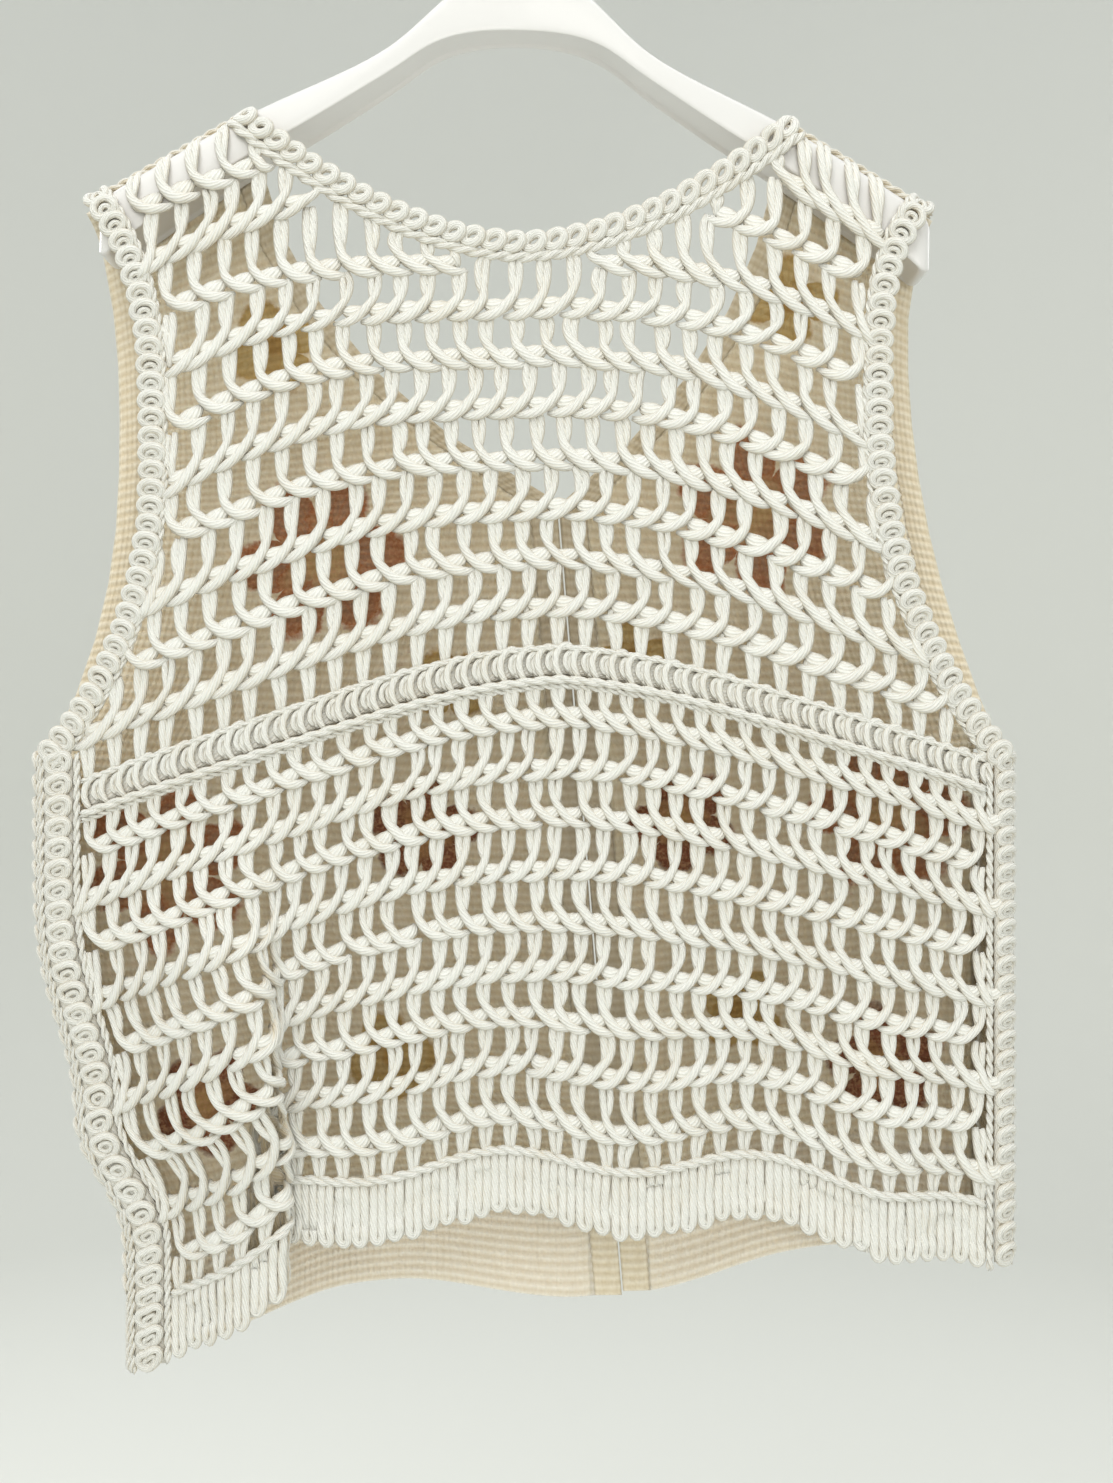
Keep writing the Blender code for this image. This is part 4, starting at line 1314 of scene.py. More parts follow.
@dataclass
class NeckEdging:
    """The ring edging of the back neck and the slanting rope under it."""

    pitch: float = 9.3
    ring: RingStitch = RingStitch(along=12.8, across=12.0, cord=4.9, tilt=1.3, lean=-0.9, lift=1.7)
    ring_inset: float = 5.4
    rope_inset: float = 12.4

    def build(self) -> None:
        """Makes the rings and the rope."""
        line, rng = neck_line(), np.random.default_rng(31)
        rings, rope = YarnPile(), YarnPile()
        ring_row(rings, lambda d: line.placer(d, self.ring_inset), line.length, self.pitch, self.ring, rng)
        count = round(line.length / self.pitch)
        for index in range(count):
            place = line.placer(line.length * (index + 0.5) / count, 0.0)
            rows = (
                (3.4, 7.6, 0.6, 2.0, 2.0),
                (1.0, 9.6, 1.1, 2.8, 2.7),
                (-3.0, 10.8, 1.1, 2.8, 2.7),
                (-7.0, 11.0, 0.4, 1.8, 2.0),
            )
            rope.run(place, rows, 9)
        rope.rope(line.placer(0.0, self.rope_inset), line.length, 15.0, 3.1, 1.2, 1.3)
        flat = (line.length * MM, FORM.neck_trim * MM)
        area = min(cloth_area("neck_trim"), flat[0] * flat[1])
        lay_crochet(("neck_edging_rope", "neck_edging_rings"), (rope, rings), "neck_trim", flat, area)


@dataclass
class ArmholeEdging:
    """The edging of leaning oval rings down the back half of an armhole."""

    side: Side
    pitch: float = 8.3
    inset: float = 6.6
    rope_inset: float = 12.6
    ring: RingStitch = RingStitch(along=11.2, across=14.2, cord=3.9, tilt=-1.2, lift=1.9)
    inner_ring: RingStitch = RingStitch(along=5.6, across=7.6, cord=2.7, tilt=-0.8, lift=1.5)

    def build(self) -> None:
        """Makes the rings and the rope along their inner edge."""
        line, rng = hole_edge(Face.BACK, self.side), np.random.default_rng(41)
        rings, rope = YarnPile(), YarnPile()
        ring_row(rings, lambda d: line.placer(d, self.inset), line.length, self.pitch, self.ring, rng)
        ring_row(rope, lambda d: line.placer(d + 0.8, self.inset), line.length, self.pitch, self.inner_ring, rng, 14)
        backing = [(line.length * part, 0.0, -0.4, 10.5, 1.6) for part in spread(0.01, 0.99, 40)]
        rope.run(line.placer(0.0, self.inset), backing, 80)
        rope.rope(line.placer(0.0, self.rope_inset), line.length, 11.0, 2.0, 0.8, 0.9)
        label = self.side.value
        names = (f"armhole_edging_rope_{label}", f"armhole_edging_rings_{label}")
        flat = (line.length * MM, FORM.armhole_trim * MM)
        lay_crochet(names, (rope, rings), f"armhole_trim_{label}", flat)


@dataclass
class YokeBand:
    """The band across the back: rows of leaning arcs over a raised rope."""

    pitch: float = 8.6
    strand: float = 3.4
    depth: float = 2.5
    rope_lift: float = 2.8

    def arc(self, size: float, shift: float, lift: float, width: float) -> list[Row]:
        """One arc of cord, bowed to the left and hooked over at its top.

        Args:
            size: its size, as a share of the band's height.
            shift: how far it is moved along.
            lift: how far it stands off.
            width: its width.

        Returns:
            Its rows for YarnPile.run.
        """
        rows = (
            (5.6, 6.4, -0.9, 0.7),
            (3.6, 7.6, -0.1, 0.95),
            (0.8, 6.9, 0.5, 1.0),
            (-1.6, 4.0, 0.6, 1.05),
            (-2.4, 0.2, 0.6, 1.05),
            (-1.6, -3.8, 0.4, 1.0),
            (0.4, -7.6, -0.2, 0.8),
        )
        return [(size * a + shift, size * b, lift + up, width * wide, self.depth * wide) for a, b, up, wide in rows]

    def build(self) -> None:
        """Makes the arcs and the ropes."""
        start, end = FORM.panel
        middle = 0.5 * (FORM.band_top + FORM.band_foot) + 0.8
        rng = np.random.default_rng(51)
        loops, rope = YarnPile(), YarnPile()

        def at(distance: float, t: float = middle) -> Placer:
            """A placer on the band."""
            return on_back(start + distance, t)

        count = round((end - start) / self.pitch)
        for index in range(count):
            place = at((end - start) * (index + 0.5) / count + rng.normal(0.0, 0.25))
            size = 1.0 + rng.normal(0.0, 0.04)
            inner, last = 3.8 + rng.normal(0.0, 0.3), 6.4 + rng.normal(0.0, 0.3)
            loops.run(place, self.arc(size, 0.0, 0.9 + rng.normal(0.0, 0.15), self.strand), 16)
            loops.run(place, self.arc(0.62 * size, inner, 0.4, 0.80 * self.strand), 13)
            rope.run(place, self.arc(0.86 * size, last, -0.6, 1.2 * self.strand), 11)
        backing = [((end - start) * part, -0.4, -1.1, 12.5, 1.5) for part in spread(0.004, 0.996, 60)]
        rope.run(at(0.0), backing, 150)
        rope.rope(at(0.0, FORM.band_top - 1.0), end - start, 11.0, 1.9, 0.6, 1.5)
        rope.rope(at(0.0, FORM.band_foot + 0.6), end - start, 17.0, 2.9, 0.9, self.rope_lift)
        rope.rope(at(0.0, FORM.band_foot - 2.2), end - start, 9.0, 2.0, 0.9, 0.9)
        flat = ((end - start) * MM, (FORM.band_top - FORM.band_foot) * MM)
        lay_crochet(("yoke_band_rope", "yoke_band_loops"), (rope, loops), "yoke_band", flat)


@dataclass
class Hem:
    """The hem: upright ribs of doubled cord with rounded feet, under a twisted rope."""

    pitch: float = 8.2
    strand: float = 4.7
    half: float = 2.0  # from a rib's middle to the middle of each of its strands

    def build(self) -> None:
        """Makes the ribs and the rope."""
        start, end = FORM.panel
        length = FORM.hem_top - FORM.hem_foot
        rng, wide = np.random.default_rng(61), self.strand
        ribs, rope = YarnPile(), YarnPile()
        count = round((end - start) / self.pitch)
        for index in range(count):
            s = start + (end - start) * (index + 0.5) / count + rng.normal(0.0, 0.3)
            foot = -length + 1.6 + rng.normal(0.0, 0.7)
            dent, lean = 0.5 + 0.13 * rng.normal(), rng.normal(0.0, 0.5)
            proud = 0.4 + 0.3 * rng.normal()
            rows = []
            for side in (-self.half, self.half):
                leg = [
                    (side, -0.5, 0.2, 0.8 * wide, 2.0),
                    (side + 0.4 * lean, -0.25 * length, 0.8 + proud, wide, 2.5),
                    (side + lean, -dent * length, 0.1, 0.97 * wide, 2.2),
                    (side + 0.5 * lean, -0.74 * length, 0.7 + 0.6 * proud, wide, 2.5),
                    (side, foot + 2.6, 0.6, 0.92 * wide, 2.4),
                ]
                rows += leg if side < 0.0 else [(0.0, foot + 0.4, 0.5, 0.86 * wide, 2.3), *leg[::-1]]
            ribs.run(on_back(s, FORM.hem_top), rows, 26)
            behind = s + 0.5 * self.pitch
            if behind < end - 2.0:
                filling = [(0.0, -part * length, -0.5, 5.4, 2.2) for part in (0.02, 0.35, 0.65, 0.90)]
                rope.run(on_back(behind, FORM.hem_top), filling, 7)
        rope.rope(on_back(start, FORM.hem_top, -1.0), end - start, 14.0, 3.1, 1.1, 1.8)
        lay_crochet(("hem_rope", "hem_ribs"), (rope, ribs), "back_hem", ((end - start) * MM, length * MM))


@dataclass
class SideStrip:
    """The insertion under an arm: two rows of rings between ropes, from the back round to the front."""

    side: Side
    pitch: float = 10.2
    rows: Pair = (10.8, 30.6)  # where the rows of rings lie, from the back's edge
    ropes: Row = (1.9, 19.4, 22.0, 39.8)
    foot_cords: Row = (25.6, 29.0, 32.4, 35.8)  # upright cords at the hem's height, under the outer rings
    ring: RingStitch = RingStitch(along=12.8, across=14.2, cord=4.0, tilt=-1.1, lift=1.7)
    inner_ring: RingStitch = RingStitch(along=6.4, across=7.6, cord=2.7, tilt=-0.7, lift=1.3)

    def build(self) -> None:
        """Makes the rings and the ropes."""
        edge, sign = FORM.end(FORM.panel, self.side), self.side.sign
        rng = np.random.default_rng(71)
        rings, ropes = YarnPile(), YarnPile()

        def at(offset: float, distance: float = 0.0) -> tuple[Placer, float]:
            """A placer that runs down the strip, and how far down it may go."""
            s = edge + sign * offset
            top = FORM.strip_level(s) - 1.0

            def place(a: Array, b: Array, lift: Array) -> Arrays:
                """Lays points down the strip, with up towards the back."""
                level = np.clip(top - distance - a, FORM.hem_foot - 6.0, 0.0)
                return FORM.wrap(s - sign * b, level, 0.0, lift)

            return place, top - FORM.hem_foot

        foot = FORM.hem_top - FORM.hem_foot
        for offset, raised in zip(self.rows, (0.0, foot)):
            stop = at(offset)[1] - raised - 2.0
            ring_row(rings, lambda d, o=offset: at(o, d)[0], stop, self.pitch, self.ring, rng)
            ring_row(ropes, lambda d, o=offset: at(o, d + 0.5)[0], stop, self.pitch, self.inner_ring, rng, 14)
            backing = [(stop * part, 0.0, -0.4, 16.5, 1.6) for part in spread(0.01, 0.99, 30)]
            ropes.run(at(offset)[0], backing, 60)
        for offset in self.ropes:
            place, length = at(offset)
            ropes.rope(place, length, 13.0, 2.1, 0.9, 1.2)
        for offset in self.foot_cords:
            place, length = at(offset)
            rows = [(length - foot + part * foot, 0.0, 1.0, 3.3, 3.0) for part in (0.0, 0.3, 0.6, 0.95)]
            ropes.run(place, rows, 14)
        label = self.side.value
        names = (f"side_strip_ropes_{label}", f"side_strip_rings_{label}")
        node, width = f"side_strip_{label}", FORM.strip_width * MM
        lay_crochet(names, (ropes, rings), node, (width, cloth_area(node) / width))


@dataclass
class ShoulderSeam:
    """The twisted rope that joins back and front along a shoulder."""

    side: Side
    lift: float = 1.0

    def build(self) -> None:
        """Makes the rope."""
        start, end = FORM.neck_end(self.side, 0.0), FORM.end(FORM.tips, self.side)
        direction = 1.0 if end > start else -1.0
        rope = YarnPile()

        for y, strand in ((-2.2, 2.8), (2.0, 2.6)):

            def place(a: Array, b: Array, lift: Array, y: float = y) -> Arrays:
                """Lays points along the top of the shoulder."""
                x = start + direction * a
                return np.stack([x, y - b, FORM.ridge(x) + lift], axis=-1), np.tile([0.0, 0.0, 1.0], (len(x), 1))

            rope.rope(place, abs(end - start), 12.0, strand, 1.1, self.lift)
        settle(rope.build(f"shoulder_rope_{self.side.value}"), CORD, Slot.CORD, [f"shoulder_seam_{self.side.value}"])


# --- Fronts ---


class Bloom(Enum):
    """The kinds of flower knitted into the fronts."""

    RUST = 0.0
    MAROON = 1.0
    TAN = 2.0


@dataclass(frozen=True)
class Flower:
    """A flower knitted into a front: where its middle is, and its shape."""

    x: float
    z: float
    radius: float
    petals: int
    turn: float  # degrees
    kind: Bloom


FLOWERS = tuple(
    Flower(x, z, radius, petals, turn, kind)
    for kind, petals, places in (
        (Bloom.RUST, 6, (
            (-101.0, -352.0, 47.0, 12.0), (115.0, -329.0, 46.0, 40.0), (-178.0, -506.0, 46.0, 25.0),
            (182.0, -478.0, 44.0, 5.0),
        )),
        (Bloom.MAROON, 5, (
            (-50.0, -488.0, 31.0, 18.0), (78.0, -482.0, 30.0, 50.0), (-158.0, -622.0, 30.0, 0.0),
            (178.0, -603.0, 31.0, 30.0),
        )),
        (Bloom.TAN, 4, (
            (-66.0, -600.0, 25.0, 20.0), (108.0, -578.0, 24.0, 60.0), (-124.0, -246.0, 26.0, 35.0),
            (132.0, -224.0, 26.0, 10.0), (-36.0, -414.0, 21.0, 45.0), (54.0, -402.0, 21.0, 15.0),
        )),
    )
    for x, z, radius, turn in places
)


@dataclass(frozen=True)
class FloralKnit(Finish):
    """Soft brushed cotton knit in horizontal ribs: matt, with a nap that blurs the edges of its flowers."""

    ground: str = "#EDE2CA"
    foot: str = "#F3ECDF"
    rust: tuple[str, str, str] = ("#B5642F", "#B28C76", "#D8BF8C")  # petal edge, petal, centre
    maroon: tuple[str, str, str] = ("#6C220E", "#8C3F27", "#C4A268")
    tan: tuple[str, str, str] = ("#CDAF70", "#DAC592", "#BE9B5E")
    # The reverse ground is partly the paler reverse of the knit and partly painted light that brightens the shaded
    # inside.
    reverse_ground_and_painted_light: str = "#FBF3E2"
    reverse_flower: str = "#D3A77F"
    # The groove colour is painted shade, multiplied in where the ribs dip.
    groove_shade_colour: str = "#D9CFBA"
    foot_height: float = 62.0
    foot_blur: float = 5.0
    inner_petals: float = 0.58  # their length, as a share of the outer ones'
    stitch: float = 3.0
    nap: float = 0.55
    sheen: float = 0.3
    glow: float = 0.4
    glow_depth: float = 3.0

    def paint(self, nodes: Painter) -> None:
        """Petalled flowers on a beige ground, a paler foot, painted shade in the rib grooves, a paler inside that is
        partly painted light, and knitted stitches under a nap.

        Args:
            nodes: the material's nodes.
        """
        maths, blend = nodes.maths, nodes.blend

        def reach_in_petals(lobe: Socket, size: float) -> Socket:
            """Distance from the flower's middle, as a share of the way to the edge of petals of this size."""
            edge = maths("MULTIPLY_ADD", maths("POWER", lobe, 0.6), 0.48 * size, 0.48 * size)
            return maths("DIVIDE", distance, edge)

        def past(value: Socket | float, start: Socket | float, gain: float) -> Socket:
            """0 up to the start, then a ramp up to 1."""
            return maths("MULTIPLY", maths("SUBTRACT", value, start), gain, clamp=True)

        bloom = nodes.mark("bloom", "Vector")
        kind = nodes.mark("kind")
        foot = nodes.mark("foot")
        painted_shade = nodes.mark("painted_shade")
        place = nodes.place
        uv = nodes.uv
        fuzz = nodes.clouds(place, 420.0, 3.0)
        waver = nodes.clouds(place, 60.0, 2.0)
        parts = add_node(nodes.tree, "ShaderNodeSeparateXYZ", {0: bloom})
        across, up, petals = parts.outputs[0], parts.outputs[1], parts.outputs[2]
        distance = maths("SQRT", maths("ADD", maths("MULTIPLY", across, across), maths("MULTIPLY", up, up)))
        distance = maths("ADD", distance, maths("MULTIPLY_ADD", fuzz, 0.16, -0.08))
        distance = maths("ADD", distance, maths("MULTIPLY_ADD", waver, 0.44, -0.22))
        angle = maths("MULTIPLY", maths("ARCTAN2", up, across), maths("MULTIPLY", petals, 0.5))
        angle = maths("MULTIPLY_ADD", waver, 0.5, angle)
        lobe = maths("ABSOLUTE", maths("COSINE", angle))
        along = reach_in_petals(lobe, 1.0)
        along_inner = reach_in_petals(maths("ABSOLUTE", maths("SINE", angle)), self.inner_petals)
        inner = past(1.0, along_inner, 9.0)
        inner_rim = past(along_inner, 0.68, 4.5)
        near = nodes.mark("near")
        inside = maths("MULTIPLY", near, past(1.0, along, 9.0))
        rim = past(along, 0.66, 4.0)
        seam = maths("SUBTRACT", 1.0, maths("MULTIPLY", lobe, 2.6, clamp=True))
        core = past(0.24, distance, 12.0)
        veins = maths("ABSOLUTE", maths("COSINE", maths("MULTIPLY", angle, 7.0)))
        dark = maths("MAXIMUM", maths("MAXIMUM", rim, seam), maths("MULTIPLY", maths("POWER", veins, 6.0), 0.55))
        tones = []
        for palette in (self.rust, self.maroon, self.tan):
            petal = blend(dark, palette[1], palette[0])
            small = blend(0.55, palette[1], palette[2])
            petal = blend(inner, petal, blend(inner_rim, small, palette[0]))
            tones.append(blend(core, petal, palette[2]))
        flower = blend(maths("MINIMUM", kind, 1.0), tones[0], tones[1])
        flower = blend(maths("SUBTRACT", kind, 1.0, clamp=True), flower, tones[2])
        ground = blend(maths("MULTIPLY", waver, 0.3), self.ground, self.tan[1])
        # Inside the garment the ground is paler, partly the knit's reverse and partly painted light; the loops of two
        # colours show as specks in the flowers.
        reverse = nodes.mark("reverse")
        specks = nodes.clouds(place, 620.0, 1.0)
        specks = maths("MULTIPLY_ADD", specks, 5.0, -2.2, clamp=True)
        specks = maths("MULTIPLY", reverse, maths("MULTIPLY_ADD", specks, 0.45, 0.25))
        specks = maths("MULTIPLY", specks, maths("SUBTRACT", Bloom.TAN.value, kind, clamp=True))
        flower = blend(specks, flower, self.reverse_flower)
        ground = blend(maths("MULTIPLY", reverse, 0.85), ground, self.reverse_ground_and_painted_light)
        colour = blend(inside, ground, flower)
        pale = maths("MULTIPLY_ADD", foot, -1.0 / self.foot_blur, self.foot_height / self.foot_blur, clamp=True)
        colour = blend(pale, colour, self.foot)
        # Painted shade: darker in the grooves between the ribs, with a little random mottle.
        shade = maths("MULTIPLY_ADD", painted_shade, 0.55, maths("MULTIPLY_ADD", fuzz, 0.34, -0.17), clamp=True)
        colour = blend(shade, colour, self.groove_shade_colour, "MULTIPLY")
        nodes.colour(colour)
        wales = nodes.bands(uv, self.stitch, 1.5)
        nodes.relief(maths("MULTIPLY_ADD", nodes.clouds(uv, 1.3, 4.0), 1.2, wales), 0.8, self.nap)


@dataclass(frozen=True)
class RibBand(Finish):
    """Firm cotton rib, a shade deeper than the cord: matt, with fine wales across the ribs."""

    # The light colour is the rib's own cream; the dark one is painted shade for the grooves between the ribs.
    light: str = "#EEE5D1"
    dark: str = "#C9B68F"
    stitch: float = 2.4
    sheen: float = 0.25

    def paint(self, nodes: Painter) -> None:
        """Cream ribs with painted shade in their grooves, and a relief of wales and fibres."""
        mottle = nodes.maths("MULTIPLY_ADD", nodes.clouds(nodes.uv, 0.35, 3.0), 0.4, -0.16)
        # Painted shade in the grooves between the ribs, plus a random mottle.
        shade = nodes.maths("MULTIPLY_ADD", nodes.mark("painted_shade"), 0.55, mottle, clamp=True)
        nodes.colour(nodes.blend(shade, self.light, self.dark))
        wales = nodes.bands(nodes.uv, self.stitch, 1.0)
        nodes.relief(nodes.maths("MULTIPLY_ADD", nodes.clouds(nodes.uv, 1.2, 4.0), 0.9, wales), 0.8, 0.3)


Ends = Callable[[float], Row]


@dataclass
class RibbedCloth:
    """A piece of ribbed knit on the front of the garment, its ribs across it."""

    name: str
    node: str
    ends: Ends  # X and Z of both ends of the course v
    rows: list[float]
    columns: int
    rib: float = 4.4
    rows_a_rib: int = 4
    relief: float = 0.85
    wall: float = 1.5
    foot_rise: float = 0.0

    def grid(self) -> tuple[Array, Array, Array]:
        """The cloth's points, its normals, and the distance of each row down it."""
        table = np.array([self.ends(v) for v in self.rows])
        middle_x, middle_z = 0.5 * (table[:, 0] + table[:, 2]), 0.5 * (table[:, 1] + table[:, 3])
        middle, _ = FORM.hang(middle_x, middle_z, 0.0, Face.FRONT)
        steps = np.linalg.norm(np.diff(middle, axis=0), axis=1)
        distance = np.concatenate([[0.0], np.cumsum(steps)])
        count = round(distance[-1] / self.rib) * self.rows_a_rib + 1
        down = np.linspace(0.0, distance[-1], count)
        fine = np.stack([np.interp(down, distance, table[:, column]) for column in range(4)], axis=-1)
        v = np.interp(down, distance, self.rows)
        u = np.linspace(0.0, 1.0, self.columns + 1)[None]
        x = fine[:, 0:1] * (1.0 - u) + fine[:, 2:3] * u
        z = fine[:, 1:2] * (1.0 - u) + fine[:, 3:4] * u
        z = z + self.foot_rise * smooth(v, 1.2, 2.0)[:, None] * np.sin(math.pi * u) ** 2
        return *FORM.hang(x, z, 0.0, Face.FRONT), down

    def build(self) -> tuple[Piece, Array, Array]:
        """Makes the cloth.

        Returns:
            The piece, its points without the ribs, and the distance of each row from the foot.
        """
        points, normals, down = self.grid()
        phase = 2.0 * math.pi * down / (down[-1] / round(down[-1] / self.rib))
        ribs = self.relief * (0.5 + 0.5 * np.cos(phase))
        waver = 0.10 * np.sin(points[..., 0] * 0.9 + 2.0 * np.sin(points[..., 2] * 0.11))
        relief = np.clip(ribs[:, None] + waver, 0.0, None)
        across = np.linalg.norm(points - points[:, :1], axis=-1)
        uv = np.stack([across, np.broadcast_to(down[:, None], across.shape)], axis=-1)
        piece = knit_shell(self.name, points, normals, relief, self.wall, uv)
        return piece, points, down[-1] - down


def ink_flowers(piece: Piece, points: Array, foot: Array) -> None:
    """Marks each point of a front with its place in the nearest flower.

    Args:
        piece: the front.
        points: the grid of points of one of its faces.
        foot: distance of each row from the foot.
    """
    flat = points.reshape(-1, 3)
    nearest = np.full(len(flat), 9.0)
    bloom, kind = np.zeros((len(flat), 3)), np.zeros(len(flat))
    for flower in FLOWERS:
        turn = math.radians(flower.turn)
        dx, dz = flat[:, 0] - flower.x, flat[:, 2] - flower.z
        local = np.stack([
            (dx * math.cos(turn) + dz * math.sin(turn)) / flower.radius,
            (dz * math.cos(turn) - dx * math.sin(turn)) / flower.radius,
            np.full(len(flat), float(flower.petals)),
        ], axis=-1)
        distance = np.hypot(local[:, 0], local[:, 1])
        closer = distance < nearest
        nearest[closer], bloom[closer], kind[closer] = distance[closer], local[closer], flower.kind.value
    rows = np.repeat(foot, points.shape[1])
    mesh = piece.data
    near = np.clip((1.25 - nearest) / 0.1, 0.0, 1.0)
    # Each value is given for the outer face and then for the inner one.
    for name, outer, inner in (
        ("kind", kind, kind), ("foot", rows, rows), ("near", near, near), ("bloom", bloom, bloom),
        ("reverse", np.zeros(len(flat)), np.ones(len(flat))),
    ):
        form, key = ("FLOAT_VECTOR", "vector") if name == "bloom" else ("FLOAT", "value")
        layer = mesh.attributes.new(name, form, "POINT")
        layer.data.foreach_set(key, np.concatenate([outer, inner]).astype(np.float32).ravel())


@dataclass
class FrontHalf:
    """One front: its floral knit, the band of its neck and centre edge, and the band of its armhole."""

    side: Side
    columns: int = 50
    lap: float = 0.3  # how far the knit runs under its bands
    side_lap: float = 1.6  # how far it runs over the side strip's edge
    edge_reach: float = 0.8  # how far the bands' soft edges swell towards each other

    def panel_ends(self, v: float) -> Row:
        """Both ends of the knit's course v."""
        outer_x, outer_z, inner_x, inner_z = FORM.front_course(self.side, v, FORM.front_band - self.lap)
        lap = FORM.gap + (self.lap if v < 1.0 else self.side_lap)
        return outer_x + self.side.sign * lap, outer_z, inner_x, inner_z

    def band_ends(self, v: float) -> Row:
        """Both ends of the centre band's course v."""
        _, _, inner_x, inner_z = FORM.front_course(self.side, v, FORM.front_band)
        _, _, edge_x, edge_z = FORM.front_course(self.side, v, -self.edge_reach)
        return inner_x, inner_z, edge_x, edge_z

    def hole_ends(self, v: float) -> Row:
        """Both ends of the armhole band's course v."""
        inner_x, inner_z, _, _ = FORM.front_course(self.side, v, FORM.front_band)
        x, top = FORM.shoulder_corner(Face.FRONT, self.side, 0.0)
        z = top + (FORM.underarm + FORM.gap - top) * v
        x = float(HOLES[Face.FRONT, self.side].x(np.array(z))) if v > 0.0 else x
        return x, z, inner_x, inner_z

    def build(self) -> None:
        """Makes the front's three pieces."""
        label, rows = self.side.value, FORM.front_rows()
        knit = FloralKnit("brushed_floral_knit", roughness=0.92, ior=1.46)
        rib = RibBand("cotton_rib_band", roughness=0.9, ior=1.46)
        panel = RibbedCloth(
            f"front_knit_{label}", f"front_{label}", self.panel_ends, rows, self.columns,
            foot_rise=FORM.end(FORM.front_feet, self.side)[1],
        )
        band = RibbedCloth(f"front_centre_band_{label}", f"front_band_{label}", self.band_ends, rows, 8, relief=0.7)
        hole = RibbedCloth(
            f"front_armhole_rib_{label}", f"front_armhole_band_{label}", self.hole_ends,
            [v for v in rows if v <= 1.0], 8, relief=0.9,
        )
        for cloth, finish, slot in ((panel, knit, Slot.KNIT), (band, rib, Slot.RIB), (hole, rib, Slot.RIB)):
            piece, points, foot = cloth.build()
            if cloth is panel:
                ink_flowers(piece, points, foot)
            settle(piece, finish, slot, [cloth.node])
            length = float(foot[0]) * MM
            cloth_area(cloth.node) / length


# --- Hanger ---


def weld(mesh: bpy.types.Mesh, reach: float) -> None:
    """Joins points of a mesh that lie this near each other, in metres."""
    shape = bmesh.new()
    shape.from_mesh(mesh)
    bmesh.ops.remove_doubles(shape, verts=shape.verts, dist=reach)
    shape.to_mesh(mesh)
    shape.free()
    mesh.shade_smooth()


@dataclass(frozen=True)
class MouldedPlastic(Finish):
    """White moulded plastic: half gloss, with a long soft highlight and a very slightly wavy skin."""

    colour: str = "#E1E0DE"
    coat: float = 0.2

    def paint(self, nodes: Painter) -> None:
        """A cool white with a faint orange-peel."""
        nodes.colour(self.colour)
        nodes.relief(nodes.clouds(nodes.place, 260.0, 2.0), 0.2, 0.1)


@dataclass(frozen=True)
class PlatedWire(Finish):
    """Bright plated steel wire: mirror-like, with faint drawing lines along it."""

    colour: str = "#D6D8DA"

    def paint(self, nodes: Painter) -> None:
        """A neutral metal whose roughness varies a little."""
        nodes.colour(self.colour)
        wear = {"Value": nodes.clouds(nodes.place, 180.0, 3.0), "To Min": 0.12, "To Max": 0.26}
        rough = add_node(nodes.tree, "ShaderNodeMapRange", wear).outputs["Result"]
        nodes.tree.links.new(rough, nodes.shader.inputs["Roughness"])


# Half of the hanger's outline.
HANGER_SECTIONS = (
    # x, top, foot, depth
    (0.0, -60.0, -102.0, 21.0),
    (9.0, -61.0, -102.2, 21.5),
    (16.0, -65.0, -102.6, 22.0),
    (30.0, -78.0, -104.5, 23.0),
    (44.0, -92.0, -110.0, 24.5),
    (58.0, -107.0, -121.5, 26.5),
    (76.0, -118.5, -133.0, 28.5),
    (100.0, -129.5, -149.0, 30.0),
    (127.0, -141.8, -165.0, 31.0),
    (155.0, -158.2, -184.0, 31.0),
    (180.0, -173.0, -202.0, 31.0),
    (194.0, -181.6, -213.0, 30.0),
    (200.0, -187.5, -215.0, 26.0),
)


